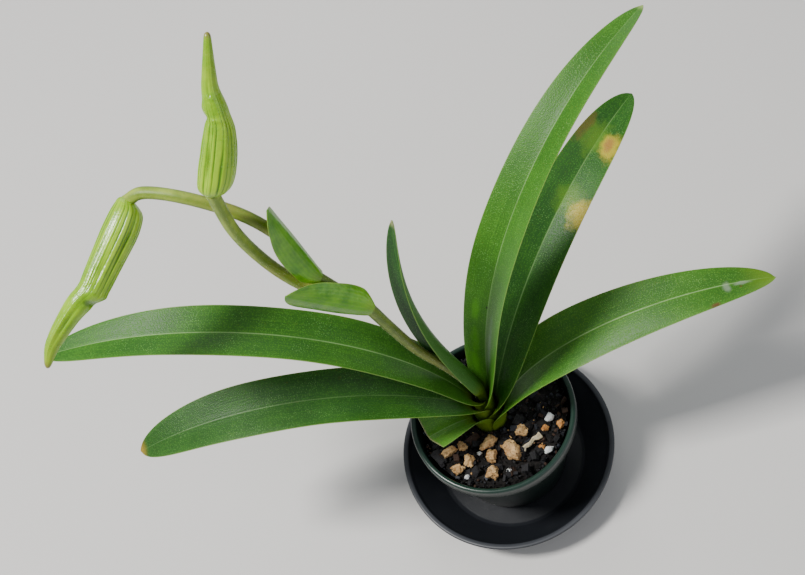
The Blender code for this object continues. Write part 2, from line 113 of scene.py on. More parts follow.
# %% A material under construction
class Paint:
    """Builds the nodes of one Principled material."""

    VARIES = {"base": "Base Color", "rough": "Roughness", "normal": "Normal"}

    def __init__(self, name, **constants):
        self.material = bpy.data.materials.new(name)
        self.material.use_nodes = True
        self.tree = self.material.node_tree
        self.shader = self.tree.nodes["Principled BSDF"]
        for socket, value in constants.items():
            shown = socket.replace("_", " ").title().replace("Ior", "IOR")
            self.shader.inputs[shown].default_value = value

    def add(self, kind, inputs=None, out=0, **settings):
        node = self.tree.nodes.new(kind)
        for key, value in settings.items():
            setattr(node, key, value)
        for key, value in (inputs or {}).items():
            if isinstance(value, Value):
                self.tree.links.new(value.socket, node.inputs[key])
            else:
                node.inputs[key].default_value = value
        return Value(self, node.outputs[out])

    def stored(self, name):
        return self.add("ShaderNodeAttribute", out=2, attribute_name=name)

    def place(self, stretch=(1, 1, 1)):
        where = self.add("ShaderNodeTexCoord", out=3)
        if stretch == (1, 1, 1):
            return where
        return self.add("ShaderNodeVectorMath", {0: where, 1: stretch}, operation="MULTIPLY")

    def noise(self, scale, detail=3.0, rough=0.55, where=None):
        inputs = {"Vector": where or self.place(), "Scale": scale, "Detail": detail, "Roughness": rough}
        return self.add("ShaderNodeTexNoise", inputs)

    def cells(self, scale):
        return self.add("ShaderNodeTexVoronoi", {"Vector": self.place(), "Scale": scale})

    def mix(self, share, a, b):
        a, b = ((*c, 1) if isinstance(c, tuple) else c for c in (a, b))
        return self.add("ShaderNodeMix", {0: share, 6: a, 7: b}, out=2, data_type="RGBA")

    def relief(self, height, strength=0.5, distance=0.0004):
        inputs = {"Height": height, "Strength": strength, "Distance": distance}
        return self.add("ShaderNodeBump", inputs)

    def finish(self, **links):
        for socket, value in links.items():
            self.tree.links.new(value.socket, self.shader.inputs[self.VARIES[socket]])
        return self.material


print("what may change over a surface:", ", ".join(Paint.VARIES.values()))

# %% [markdown]
# A mesh piece is made from points and faces in millimetres. Values that a material needs, such
# as how far along a leaf a point lies, are stored on its points under a name.

# %% Make a mesh piece
def placed(name, data):
    """A new object at the origin, linked to the scene."""
    piece = bpy.data.objects.new(name, data)
    bpy.context.scene.collection.objects.link(piece)
    return piece


def final_mesh(piece):
    """The plain mesh that a piece's modifiers make. The modifiers then go."""
    graph = bpy.context.evaluated_depsgraph_get()
    mesh = bpy.data.meshes.new_from_object(piece.evaluated_get(graph))
    piece.modifiers.clear()
    return mesh


def quads(*corners):
    """Faces from four arrays of corner numbers."""
    return np.stack(corners, -1).reshape(-1, 4).tolist()


def mesh_piece(name, points, faces, stored=None, smooth_angle=50):
    """A closed mesh object from millimetre points, with named values on its points."""
    mesh = bpy.data.meshes.new(name)
    mesh.from_pydata((np.asarray(points, float) * MM).tolist(), [], faces)
    shape = bmesh.new()
    shape.from_mesh(mesh)
    bmesh.ops.recalc_face_normals(shape, faces=shape.faces)
    shape.to_mesh(mesh)
    shape.free()
    for key, values in (stored or {}).items():
        attribute = mesh.attributes.new(key, "FLOAT", "POINT")
        attribute.data.foreach_set("value", np.asarray(values, np.float32))
    mesh.shade_smooth()
    mesh.set_sharp_from_angle(angle=math.radians(smooth_angle))
    return placed(name, mesh)


print("four corner lists give one face each:", quads([0, 1], [4, 5], [6, 7], [2, 3]))

# %% [markdown]
# A finished piece is told three things: its material, the body that it rides on and the imported
# nodes that it stands for. Every piece here goes through the same helper, so that none is
# forgotten.

# %% Hand a piece over
def ready(piece, material, slot, *nodes):
    """Gives a finished piece its material, its body and the nodes it stands for; its slot is not used."""
    if material is not None:
        piece.data.materials.clear()
        piece.data.materials.append(material)
    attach(piece, "root")
    if nodes:
        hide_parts(*nodes)
    print(f"{piece.name}: {len(piece.data.polygons)} faces for {', '.join(nodes) or 'itself'}")
    return piece

# %% [markdown]
# ## The leaves
# Each leaf is a long folded strap whose lower part clasps the stem. Its shape is a midrib, an
# arch that starts steep and droops, and a cross section that opens from a tight U at the sheath
# to a shallow V. A grown form like this is easiest as a rule: the same numbers that shaped the
# solid are repeated here, and read at many more places.

# %% The numbers of a blade
STEM_X, STEM_Y, STEM_FOOT = -2.0, 2.0, 65.0
SHEATH_WALL, SHEATH_STEP, SHEATH_CORE = 0.6, 0.95, 3.25  # wall, room for each sheath, stalk's room
KEEL_REACH, SHEATH_ARM, SHEATH_RELEASE = 1.5, 3.0, 15.0  # keel's offset, flat arms, opening length


@dataclass(frozen=True)
class Blade:
    """A leaf or a bract, with its angles in degrees and its lengths in millimetres."""

    name: str
    foot: tuple
    heading: float  # way it grows from the stem
    turn: float  # change of heading along it
    rise: float  # slope at its foot
    droop: float  # slope at its tip
    bend: float  # 1 spreads the droop evenly, more keeps it for the end
    length: float
    width: float
    roll: float = 0.0  # lean round the midrib, growing from none at the foot
    facing: float = 0.0  # turn of the whole blade round its midrib
    fold: float = 16.0  # slope of each half, open part
    tip: float = 5.0  # low for a long point, high for a blunt one
    lean: float = 0.0
    cup: float = 3.0  # how far the round of the fold reaches
    wall: float = 0.9
    wave: float = 0.4  # height of the ripple at the margin
    waves: float = 3.0
    cut: float = 1.0  # share of the length that is left
    sheath: float = 0.0  # half the space that its sheath clasps, none for a bract
    settle: float = 0.12
    taper: float = 0.0
    neck: float = 0.75  # width at the foot, as a share
    closed: float = 80.0  # slope of each half where it leaves the sheath
    opening: float = 0.09


print("a blade has", len(Blade.__dataclass_fields__), "numbers")

# %% [markdown]
# The seven leaves stand in two ranks, and each sheath clasps the next one in. So a leaf's foot
# follows from its side and its layer alone, and only its own arch and width are listed. The two
# bracts stand on the stalk and have no sheath.

# %% The leaves and the bracts
def leaf(name, side, layer, departs, **shape):
    """A leaf of the fan: side is 1 or -1, layer counts the sheaths from the stalk outwards."""
    half = SHEATH_CORE + SHEATH_STEP * layer
    foot = (STEM_X + side * (KEEL_REACH + half), STEM_Y, departs)
    return Blade(name, foot, 0.0 if side > 0 else 180.0, sheath=half, **shape)


LEAVES = (
    leaf("leaf_young", 1, 0, 112, turn=25, rise=102.5, droop=72, bend=1.5, length=177, width=22,
         fold=52, lean=11, tip=2.2, cup=5, wave=0.0, neck=1.25, closed=68, opening=0.6, settle=0.06),
    leaf("leaf_left_upper", -1, 1, 103, turn=-23, rise=80, droop=-20, bend=1.0, length=280, width=31,
         fold=14, tip=6.0, wave=0.5, settle=0.05, opening=0.03),
    leaf("leaf_right_tall", 1, 2, 95, turn=23, rise=84, droop=-4, bend=1.5, length=280, width=31,
         roll=-7, fold=20, tip=4.7, wave=0.3, opening=0.05),
    leaf("leaf_left_lower", -1, 3, 92.5, turn=-15.5, rise=62.5, droop=-29, bend=0.91, length=222,
         width=33, roll=-10, fold=15, tip=6.9, wave=0.6, settle=0.08, neck=0.66, opening=0.06),
    leaf("leaf_right_spotted", 1, 4, 86, turn=30, rise=76, droop=-8, bend=1.0, length=219, width=32,
         roll=19, fold=19, tip=6.7, wave=0.4, opening=0.06),
    leaf("leaf_cut_stub", -1, 5, 77, turn=13, rise=36, droop=0, bend=0.8, length=92, width=32,
         fold=27, cut=0.39, wave=0.2, opening=0.16),
    leaf("leaf_right_low", 1, 6, 75, turn=-14, rise=62, droop=-18, bend=1.0, length=199, width=35,
         roll=15, fold=15, tip=4.9, wave=2.6, waves=1.1, taper=0.22, opening=0.07),
)
BRACTS = (
    Blade("bract_lower", (-32.3, 9.5, 234.6), 166, 0, 42, 52, 1.0, 50, 27, facing=102, fold=38, closed=58,
          tip=2.8, cup=7.4, wall=0.8, wave=0.3, waves=2, neck=0.72, opening=0.4),
    Blade("bract_upper", (-45.5, 24, 263.5), -26, 0, 107, 97, 1.0, 53, 26, fold=50, tip=2.8, cup=7.5,
          lean=16, wall=0.8, wave=0.3, waves=2, neck=0.72, opening=0.4),
)
print("blades", [blade.name for blade in LEAVES + BRACTS])

# %% [markdown]
# The midrib is stepped along its length, a little turn and a little droop at each step. That is
# how the real leaf grows, and it keeps the length true however the leaf bends. A section is
# then laid across it at each station.

# %% The midrib and the fold
def midrib(blade, steps=200):
    """Points, directions and side directions along the midrib, as arrays."""
    place = np.array(blade.foot, float)
    line = []
    for k in range(steps + 1):
        s = k / steps
        heading = math.radians(blade.heading + blade.turn * (1 - math.exp(-s / blade.settle)))
        slope = blade.rise + (blade.droop - blade.rise) * s**blade.bend
        if blade.sheath:
            slope += (90 - blade.rise) * math.exp(-s / 0.04)
        slope = math.radians(slope)
        out = np.array((math.cos(heading), math.sin(heading), 0))
        across = np.array((-math.sin(heading), math.cos(heading), 0))
        lean = math.tan(math.radians(blade.lean)) * (1 - s) * min(s / 0.06, 1)
        along = out * math.cos(slope) + np.array((0, 0, math.sin(slope)))
        line.append((place, along, across))
        place = place + (along + across * lean) * (blade.length / steps)
    return [np.array(column) for column in zip(*line)]


def at(column, s):
    """The value of an evenly spaced column at a share s."""
    place = s * (len(column) - 1)
    k = min(int(place), len(column) - 2)
    return column[k] + (column[k + 1] - column[k]) * (place - k)


def folded(reach, angle, cup):
    """Sideways and inward shift, and slope, at distances from the midrib of a rounded fold."""
    slope = np.minimum(reach / cup, 1.0) * angle
    straight = np.maximum(reach - cup, 0.0)
    side = cup / angle * np.sin(slope) + straight * math.cos(angle)
    inward = cup / angle * (1 - np.cos(slope)) + straight * math.sin(angle)
    return side, inward, slope


for blade in LEAVES:
    print(blade.name, "ends at", midrib(blade)[0][-1].round(1), "mm")

# %% [markdown]
# Each station needs two things: which way its section faces, and how wide, how folded and how
# thick it is. Below the leaf's foot the midrib goes straight down the stem as a sheath, so both
# answers pass smoothly from the sheath's to the open blade's.

# %% How a section lies and how large it is
def stance(blade, s, columns):
    """The place, the side direction and the inward direction of a blade's section."""
    u = max(s, 0.0)
    point, along, across = (at(column, u) for column in columns)
    if s < 0:
        point = point + np.array((0, 0, s * (blade.foot[2] - STEM_FOOT)))
        along = np.array((0, 0, 1.0))
    inward = np.cross(along, across)
    roll = math.radians(blade.facing + blade.roll * (1 - (1 - u) ** 3))
    side = across * math.cos(roll) + inward * math.sin(roll)
    return point, side, inward * math.cos(roll) - across * math.sin(roll)


def sizes(blade, u):
    """Half width, fold angle, reach of the rounded fold, and wall of a blade's section."""
    angle = math.radians(blade.fold + (blade.closed - blade.fold) * math.exp(-u / blade.opening))
    cup, wall = blade.cup, blade.wall
    swell = math.sin(math.pi / 2 * min(u / 0.45, 1))
    half = blade.width / 2 * (blade.neck + (1 - blade.neck) * swell) * (1 - blade.taper * max(u - 0.35, 0))
    half = max(half * (1 - u**blade.tip) ** 0.6, 0.6)
    if blade.sheath:
        round_cup = math.pi / 2 * blade.sheath
        clasp = math.exp(-u * blade.length / SHEATH_RELEASE)
        angle += math.radians(90 - blade.closed) * clasp
        cup += (round_cup - cup) * clasp
        half += (round_cup + SHEATH_ARM - blade.neck * blade.width / 2) * clasp
        wall += (SHEATH_WALL - wall) * clasp
    else:
        half *= 0.42 + 0.58 * math.sin(math.pi / 2 * min(u / 0.16, 1))
    return half, angle, cup, wall


print("half widths in mm at mid length:", [round(sizes(blade, 0.5)[0], 1) for blade in LEAVES])

# %% [markdown]
# A real blade is thickest at the midrib, where the upper face has a channel and the lower face
# a keel, and thin at its margins. Those few tenths of a millimetre catch the light, so they are
# modelled, while the finer veins between them are left to the material.

# %% Lay a blade's skin
HALF_SHARES = np.array([
    0, 0.02, 0.045, 0.08, 0.13, 0.2, 0.29, 0.38, 0.47, 0.56, 0.65, 0.74, 0.83, 0.9, 0.95, 0.98, 1])
SHARES = np.concatenate([-HALF_SHARES[:0:-1], HALF_SHARES])
SHEATH_ROWS, CHANNEL_WIDTH, KEEL_WIDTH = 12, 0.9, 1.1


def blade_piece(blade, count=110, channel=0.28, keel=0.45):
    """A leaf or a bract with its channel, its keel and thin margins."""
    columns = midrib(blade)
    sign, size = np.sign(SHARES), np.abs(SHARES)
    stations = [blade.cut * math.sin(math.pi / 2 * i / count) for i in range(count + 1)]
    if blade.sheath:
        stations = [-(SHEATH_ROWS - i) / SHEATH_ROWS for i in range(SHEATH_ROWS)] + stations
    upper, lower = [], []
    for s in stations:
        u = max(s, 0.0)
        point, across, inward = stance(blade, s, columns)
        half, angle, cup, wall = sizes(blade, u)
        side, lift, slope = folded(size * half, angle, cup)
        ripple = np.sin(2 * math.pi * blade.waves * u - sign * 0.8)
        lift = lift + blade.wave * size**2 * ripple * min(u / 0.2, 1)
        middle = point + np.outer(side * sign, across) + np.outer(lift, inward)
        normal = np.outer(np.cos(slope), inward) - np.outer(np.sin(slope) * sign, across)
        thick = wall / 2 * (1 - 0.2 * size - 0.45 * size**8)
        open_part = min(u / 0.08, 1) * min((blade.cut - u) / 0.08 + 0.15, 1)
        dip = channel * np.exp(-((size * half / CHANNEL_WIDTH) ** 2)) * open_part
        bulge = keel * np.exp(-((size * half / KEEL_WIDTH) ** 2)) * open_part
        upper.append(middle + normal * (thick - dip)[:, None])
        lower.append(middle - normal * (thick + bulge)[:, None])
    wide, long = len(SHARES), len(stations)
    grid = np.arange(wide * long).reshape(long, wide)
    under = grid + wide * long
    faces = quads(grid[:-1, :-1], grid[1:, :-1], grid[1:, 1:], grid[:-1, 1:])
    faces += quads(under[:-1, :-1], under[:-1, 1:], under[1:, 1:], under[1:, :-1])
    for j in (0, -1):
        faces += quads(grid[:-1, j], grid[1:, j], under[1:, j], under[:-1, j])
    for i in (0, -1):
        faces += quads(grid[i, :-1], grid[i, 1:], under[i, 1:], under[i, :-1])
    stored = {
        "along": np.tile(np.repeat(stations, wide), 2),
        "across": np.tile(SHARES, 2 * long),
        "under": np.repeat([0.0, 1.0], wide * long),
    }
    return mesh_piece(blade.name + "_skin", np.concatenate(upper + lower), faces, stored)


print(len(SHARES), "points across each face of a blade")

# %% [markdown]
# The surface of a slipper orchid's leaf is a satin green with a fine sparkle: each cell bulges a
# little, and its sparkle is a painted highlight of pale specks and lighter cell centres. From the
# midrib outwards it has a pale line, faint lengthwise veins and a thin yellow-green margin. It
# yellows where the sheath begins. Marks of age, such as yellow blotches or a dry fleck, belong to
# one leaf each and are given as a list of places.

# %% The leaf material
GREEN_DEEP, GREEN_BRIGHT = (0.020, 0.100, 0.006), (0.070, 0.250, 0.010)
PALE, MARGIN, SHEATH_TINT = (0.32, 0.52, 0.20), (0.20, 0.38, 0.05), (0.20, 0.27, 0.012)


def leaf_paint(name, deep, bright, marks, tip, base, rib):
    """A leaf's material. Each mark is (along, across, length, width, colour, strength)."""
    paint = Paint(name, subsurface_weight=0.05, subsurface_scale=0.002, specular_ior_level=0.38)
    along, across, under = paint.stored("along"), paint.stored("across"), paint.stored("under")
    side = abs(across)
    patches = paint.noise(45, 3, 0.6)
    streaks = paint.noise(9, 4, 0.6, paint.add(
        "ShaderNodeCombineXYZ", {0: across * 2.2, 1: along * 0.7, 2: under}))
    veins = (across * 62.0 + patches * 3.0).wave()
    speckle = paint.cells(1250)
    # Lighter cell centres in the tone: a painted highlight on the bulging cells.
    tone = patches * 0.6 + streaks * 0.6 + veins * 0.02 + 0.45 * speckle.step(0.55, 0.1) - 0.3
    colour = paint.mix(tone.step(0.1, 1.0), deep, bright)
    # Pale specks mixed into the colour: a painted highlight where cells catch the light.
    painted_sparkle = speckle.step(0.26, 0.08) * paint.noise(75, 3).step(0.42, 0.68)
    colour = paint.mix(painted_sparkle * 0.7, colour, (0.28, 0.50, 0.20))
    line = side.step(0.036, 0.004) * along.step(0.02, 0.12) * paint.noise(60, 2).step(0.2, 0.6, 0.5, 1.0)
    colour = paint.mix(line * rib, colour, PALE)
    colour = paint.mix(side.step(0.16, 0.03) * (0.22 * rib), colour, bright)
    colour = paint.mix(side.step(0.62, 1.0) * 0.2, colour, bright)
    colour = paint.mix(side.step(0.968, 0.99) * 0.7, colour, MARGIN)
    colour = paint.mix(along.step(base, -0.04) * 0.95, colour, SHEATH_TINT)
    if tip:
        colour = paint.mix(along.step(tip[0], tip[1]) * (0.5 + 0.5 * streaks), colour, tip[2])
    colour = paint.mix(under * 0.3, colour, (0.10, 0.26, 0.03))
    wobble = (paint.noise(150, 4, 0.65) - 0.5) * 1.7
    for place, where, length, width, tint, strength in marks:
        far = (((along - place) / length) ** 2 + ((across - where) / width) ** 2) ** 0.5 + wobble
        colour = paint.mix(far.step(1.25, 0.35) * strength, colour, tint)
    height = speckle.step(0.0, 0.6, 1.0, 0.0) * 0.8 + veins * 0.04 + paint.noise(900, 2) * 0.7
    gloss = 0.40 + patches * 0.16 - painted_sparkle * 0.12 + along.step(0.1, -0.05) * 0.1
    return paint.finish(base=colour, rough=gloss, normal=paint.relief(height, 0.38, 0.0003))


print("leaf greens run from", GREEN_DEEP, "to", GREEN_BRIGHT)

# %% [markdown]
# No two leaves have the same age, which shows in the strength of the pale midrib line, the colour
# of a tip and the marks. Their greens carry painted light and shade: darker on the leaves that lie
# in shade, brighter on the lit ones. All are listed by leaf, and one loop makes all seven. A mark's
# place is a share along the leaf and a share across it, so it stays put if the leaf's shape changes.

# %% Paint and place the leaves
YELLOW, TAN, DRY = (0.52, 0.42, 0.025), (0.36, 0.17, 0.04), (0.13, 0.05, 0.015)
RESIDUE, FRESH = (0.45, 0.50, 0.42), (0.09, 0.34, 0.008)
MARKS = {
    "leaf_right_spotted": (
        (0.84, 0.15, 0.05, 0.8, (0.12, 0.27, 0.012), 0.7),
        (0.67, -0.25, 0.045, 0.7, (0.12, 0.28, 0.012), 0.6),
        (0.835, -0.66, 0.042, 0.5, YELLOW, 0.9), (0.84, -0.58, 0.022, 0.22, TAN, 0.8),
        (0.65, -0.98, 0.045, 0.62, YELLOW, 0.9), (0.85, 0.88, 0.05, 0.3, (0.13, 0.10, 0.015), 0.75),
    ),
    "leaf_right_low": (
        (0.862, -0.16, 0.012, 0.32, RESIDUE, 0.38), (0.905, -0.08, 0.028, 0.12, RESIDUE, 0.4),
        (0.82, -0.9, 0.016, 0.14, DRY, 0.9), (0.9, -0.3, 0.004, 0.06, DRY, 0.8),
    ),
    "leaf_right_tall": (
        (0.22, 0.45, 0.05, 0.22, FRESH, 0.6), (0.31, 0.5, 0.035, 0.18, FRESH, 0.55),
        (0.14, 0.5, 0.05, 0.2, FRESH, 0.4),
        (0.33, 0.05, 0.004, 0.04, (0.01, 0.015, 0.004), 0.95),
        (0.24, -0.4, 0.09, 0.14, (0.20, 0.30, 0.20), 0.4),
    ),
    "leaf_cut_stub": ((0.39, 0.0, 0.006, 2.0, (0.26, 0.22, 0.09), 0.6),),
}
TIPS = {
    "leaf_left_lower": (0.968, 1.0, (0.42, 0.26, 0.02)),
    "leaf_right_low": (0.88, 1.0, (0.16, 0.30, 0.012)),
    "leaf_young": (0.97, 1.0, (0.40, 0.42, 0.18)),
    "leaf_right_tall": (0.985, 1.0, (0.36, 0.48, 0.14)),
}
# Greens by leaf, with painted shade and light: darker greens for the leaves that lie in shade, brighter ones
# for the lit leaves.
LIT_AND_SHADED_GREENS = {
    "leaf_young": ((0.012, 0.070, 0.010), (0.045, 0.190, 0.018)),
    "leaf_left_lower": ((0.012, 0.070, 0.004), (0.045, 0.180, 0.008)),
    "leaf_right_spotted": ((0.014, 0.085, 0.006), (0.055, 0.220, 0.012)),
    "leaf_right_tall": ((0.034, 0.140, 0.008), (0.085, 0.290, 0.014)),
    "leaf_right_low": ((0.032, 0.135, 0.008), (0.100, 0.300, 0.016)),
    "leaf_cut_stub": ((0.050, 0.180, 0.008), (0.130, 0.360, 0.016)),
}
RIBS = {
    "leaf_right_low": 0.85, "leaf_left_upper": 0.65, "leaf_left_lower": 0.18, "leaf_right_tall": 0.4,
    "leaf_young": 0.3,
}
SHEATH_TINT_ENDS = {"leaf_cut_stub": 0.16, "leaf_young": 0.12}
# Leaves whose darker greens are painted shade.
SHADED_LEAVES = ("leaf_young", "leaf_left_lower", "leaf_right_spotted")

for blade in LEAVES:
    deep, bright = LIT_AND_SHADED_GREENS.get(blade.name, (GREEN_DEEP, GREEN_BRIGHT))
    base, rib = SHEATH_TINT_ENDS.get(blade.name, 0.09), RIBS.get(blade.name, 0.5)
    paint = leaf_paint(blade.name, deep, bright, MARKS.get(blade.name, ()), TIPS.get(blade.name), base, rib)
    slot = "leaf_dark_green" if blade.name in SHADED_LEAVES else "leaf_green"
    ready(blade_piece(blade), paint, slot, blade.name)

# %% [markdown]
# ## The bracts
# A bract is a small boat-shaped leaf that holds the foot of a flower's stem. It is folded on its
# keel, brighter than the leaves, and a little creased. It comes from the same blade rule.

# %% The bract material
def bract_paint():
    paint = Paint("bract_surface", subsurface_weight=0.1, subsurface_scale=0.002, specular_ior_level=0.6)
    along, across, under = paint.stored("along"), paint.stored("across"), paint.stored("under")
    side = abs(across)
    veins = (across * 40.0).wave()
    patches = paint.noise(140, 3)
    tone = (patches + veins * 0.04).step(0.25, 0.8)
    colour = paint.mix(tone, (0.055, 0.230, 0.002), (0.160, 0.430, 0.004))
    colour = paint.mix(side.step(0.95, 1.0) * 0.6, colour, (0.32, 0.52, 0.05))
    colour = paint.mix(along.step(0.2, 0.0) * 0.5, colour, (0.22, 0.38, 0.01))
    colour = paint.mix(under * side.step(0.4, 0.0) * 0.3, colour, (0.10, 0.36, 0.004))
    height = veins * 0.08 + paint.noise(380, 3) * 0.8 + paint.noise(90, 2) * 1.6
    return paint.finish(base=colour, rough=0.22 + patches * 0.2, normal=paint.relief(height, 0.45, 0.0006))


bract_surface = bract_paint()
for blade in BRACTS:
    ready(blade_piece(blade, count=70, channel=0.1, keel=0.25), bract_surface, "bract_green", blade.name)

# %% [markdown]
# ## Stalk and pedicels
# The flower stalk rises from the fan, and a short stem of its own, the pedicel, leaves it for
# each bud. All are round with slight ridges, olive green, and covered with short pale down that
# shows as a bright edge. A smooth curve through a few points gives the tube; a small sum of
# sines round it gives the ridges.

# %% A tube along a path
def smooth_path(path, count):
    """Evenly counted points of the smooth curve through a path's points."""
    p = np.array(path, float)
    p = np.vstack([2 * p[0] - p[1], p, 2 * p[-1] - p[-2]])
    out = []
    for i in range(count):
        t = i / (count - 1) * (len(path) - 1)
        k = min(int(t), len(path) - 2)
        a, b, c, d = p[k:k + 4]
        u = t - k
        curve = 2 * b + (c - a) * u + (2 * a - 5 * b + 4 * c - d) * u**2 + (3 * b - a - 3 * c + d) * u**3
        out.append(0.5 * curve)
    return np.array(out)


def ring_faces(rows, sides):
    """Faces of a tube of rows times sides points, with both ends closed."""
    grid = np.arange(rows * sides).reshape(rows, sides)
    turned = np.roll(grid, -1, axis=1)
    faces = quads(grid[:-1], turned[:-1], turned[1:], grid[1:])
    return faces + [grid[0].tolist(), grid[-1].tolist()]


def tube_piece(name, path, radii, count=150, sides=28, ridges=5, depth=0.03, rounded=0.0):
    """A ridged round stem along a path. Rounded closes its far end with a short dome."""
    line = smooth_path(path, count)
    side, rings, marks = None, [], []
    angles = np.linspace(0, 2 * math.pi, sides, endpoint=False)
    for k, point in enumerate(line):
        along = line[min(k + 1, count - 1)] - line[max(k - 1, 0)]
        along /= np.linalg.norm(along)
        if side is None:
            side = np.cross(along, (0.3, 0.9, 0.1))
        side = side - along * side.dot(along)
        side /= np.linalg.norm(side)
        s = k / (count - 1)
        radius = np.interp(s, np.linspace(0, 1, len(radii)), radii)
        radius = radius * (1 + depth * np.cos(ridges * angles + 2 * s)) + 0.08 * math.sin(9 * s) * depth
        if rounded:
            end = min((1 - s) * (count - 1) / rounded, 1)
            radius = radius * max(math.sqrt(1 - (1 - end) ** 2), 0.15)
        other = np.cross(along, side)
        rings.append(
            point + np.outer(radius * np.cos(angles), side) + np.outer(radius * np.sin(angles), other))
        marks.append(np.full(sides, s))
    stored = {"along": np.concatenate(marks), "round": np.tile(np.sin(angles * 5), count)}
    return mesh_piece(name, np.concatenate(rings), ring_faces(count, sides), stored)


print("a tube of 3 rings of 28 points has", len(ring_faces(3, 28)), "faces")

# %% [markdown]
# Down is what gives these stems their soft outline. It repeats all over a surface, so a Geometry
# Nodes tree scatters thin spikes over the tube. The tree's lengths and its seed are its own
# named inputs. It ends by realising the copies, so that what comes out is one plain mesh.

# %% A Geometry Nodes tree in a few words
class Tree:
    """A Geometry Nodes tree with named inputs, built node by node."""

    def __init__(self, name, **numbers):
        self.group = bpy.data.node_groups.new(name, "GeometryNodeTree")
        self.group.interface.new_socket("Geometry", in_out="INPUT", socket_type="NodeSocketGeometry")
        self.names, self.values = {}, {}
        for key, value in numbers.items():
            kind = "NodeSocketInt" if isinstance(value, int) else "NodeSocketFloat"
            socket = self.group.interface.new_socket(key, in_out="INPUT", socket_type=kind)
            self.names[key], self.values[key] = socket.identifier, value
        self.group.interface.new_socket("Geometry", in_out="OUTPUT", socket_type="NodeSocketGeometry")
        self.start = self.group.nodes.new("NodeGroupInput")
        self.end = self.group.nodes.new("NodeGroupOutput")

    def given(self, key="Geometry"):
        return self.start.outputs[key]

    def add(self, kind, inputs=None, out=0, **settings):
        node = self.group.nodes.new(kind)
        for key, value in settings.items():
            setattr(node, key, value)
        for key, value in (inputs or {}).items():
            named = [s for s in node.inputs if s.enabled and s.name == key]
            socket = named[0] if isinstance(key, str) else node.inputs[key]
            if isinstance(value, bpy.types.NodeSocket):
                self.group.links.new(value, socket)
            else:
                socket.default_value = value
        shown = [s for s in node.outputs if s.enabled]
        return shown[out]

    def run(self, piece, geometry):
        """Runs the tree on a piece and returns the result as a new plain mesh object."""
        self.group.links.new(geometry, self.end.inputs[0])
        step = piece.modifiers.new("tree", "NODES")
        step.node_group = self.group
        for key, identifier in self.names.items():
            step[identifier] = self.values[key]
        return placed(piece.name + "_made", final_mesh(piece))


print("a tree grows by add, and run turns it into a plain mesh")

# %% [markdown]
# The down itself: points spread over the stem's faces, a thin three-sided spike on each, turned
# to stand on the surface and then leaned a little its own way.

# %% Scatter down over a stem
DOWN_DENSITY, DOWN_LENGTH = 800000.0, 0.0006


def down_on(piece, name, material, density=DOWN_DENSITY, length=DOWN_LENGTH, seed=3):
    """Short pale hairs that stand on a piece's surface, leaning a little each its own way."""
    tree = Tree("down", Density=density, Length=length, Foot=0.000045, Tip=0.000012, Seed=seed)
    seeds = {"Seed": tree.given("Seed")}
    spots = tree.add("GeometryNodeDistributePointsOnFaces", {
        "Mesh": tree.given(), "Density": tree.given("Density"), **seeds})
    lean = tree.add("FunctionNodeRandomValue", {
        "Min": (-0.6, -0.6, 0), "Max": (0.6, 0.6, 6.2), **seeds}, data_type="FLOAT_VECTOR")
    turn = tree.add("FunctionNodeRotateRotation", {
        "Rotation": spots.node.outputs["Rotation"], "Rotate By": lean}, rotation_space="LOCAL")
    spike = tree.add("GeometryNodeMeshCone", {
        "Vertices": 3, "Radius Top": tree.given("Tip"), "Radius Bottom": tree.given("Foot"),
        "Depth": tree.given("Length")})
    size = tree.add("FunctionNodeRandomValue", {"Min": 0.45, "Max": 1.0, **seeds}, data_type="FLOAT")
    copies = tree.add("GeometryNodeInstanceOnPoints", {
        "Points": spots, "Instance": spike, "Rotation": turn, "Scale": size})
    real = tree.add("GeometryNodeRealizeInstances", {"Geometry": copies})
    made = tree.run(piece, tree.add("GeometryNodeSetMaterial", {"Geometry": real, "Material": material}))
    made.name = name
    return made


print("down on a stem:", DOWN_DENSITY * MM**2, "hairs a square mm, up to", DOWN_LENGTH / MM, "mm long")

# %% [markdown]
# The stems are olive green, browner along their middle, with a few dark flecks. The colour
# changes with the share along the stem that the tube stored on its points. The three paths are
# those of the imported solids, with an end run into the bud or stem that it joins.

# %% The stem materials
def stalk_paint(name, deep, bright):
    paint = Paint(name, subsurface_weight=0.08, subsurface_scale=0.002, sheen_weight=0.05)
    along, ridge = paint.stored("along"), paint.stored("round")
    patches = paint.noise(120, 4, 0.6)
    fleck = paint.cells(420).step(0.16, 0.05) * paint.noise(60, 2).step(0.56, 0.68)
    colour = paint.mix((patches + ridge * 0.12).step(0.3, 0.75), deep, bright)
    brown = along.step(0.1, 0.3) * along.step(0.75, 0.5) * 0.5 * patches.step(0.3, 0.6)
    colour = paint.mix(brown, colour, (0.20, 0.17, 0.03))
    colour = paint.mix(fleck * 0.7, colour, (0.07, 0.05, 0.015))
    height = paint.noise(1500, 2) * 0.6 + patches + ridge * 0.2
    return paint.finish(base=colour, rough=0.42 + patches * 0.15, normal=paint.relief(height, 0.35, 0.0004))


def down_paint():
    paint = Paint("down_hair", roughness=0.5)
    tone = paint.noise(300, 1)
    return paint.finish(base=paint.mix(tone, (0.50, 0.58, 0.22), (0.80, 0.82, 0.55)))


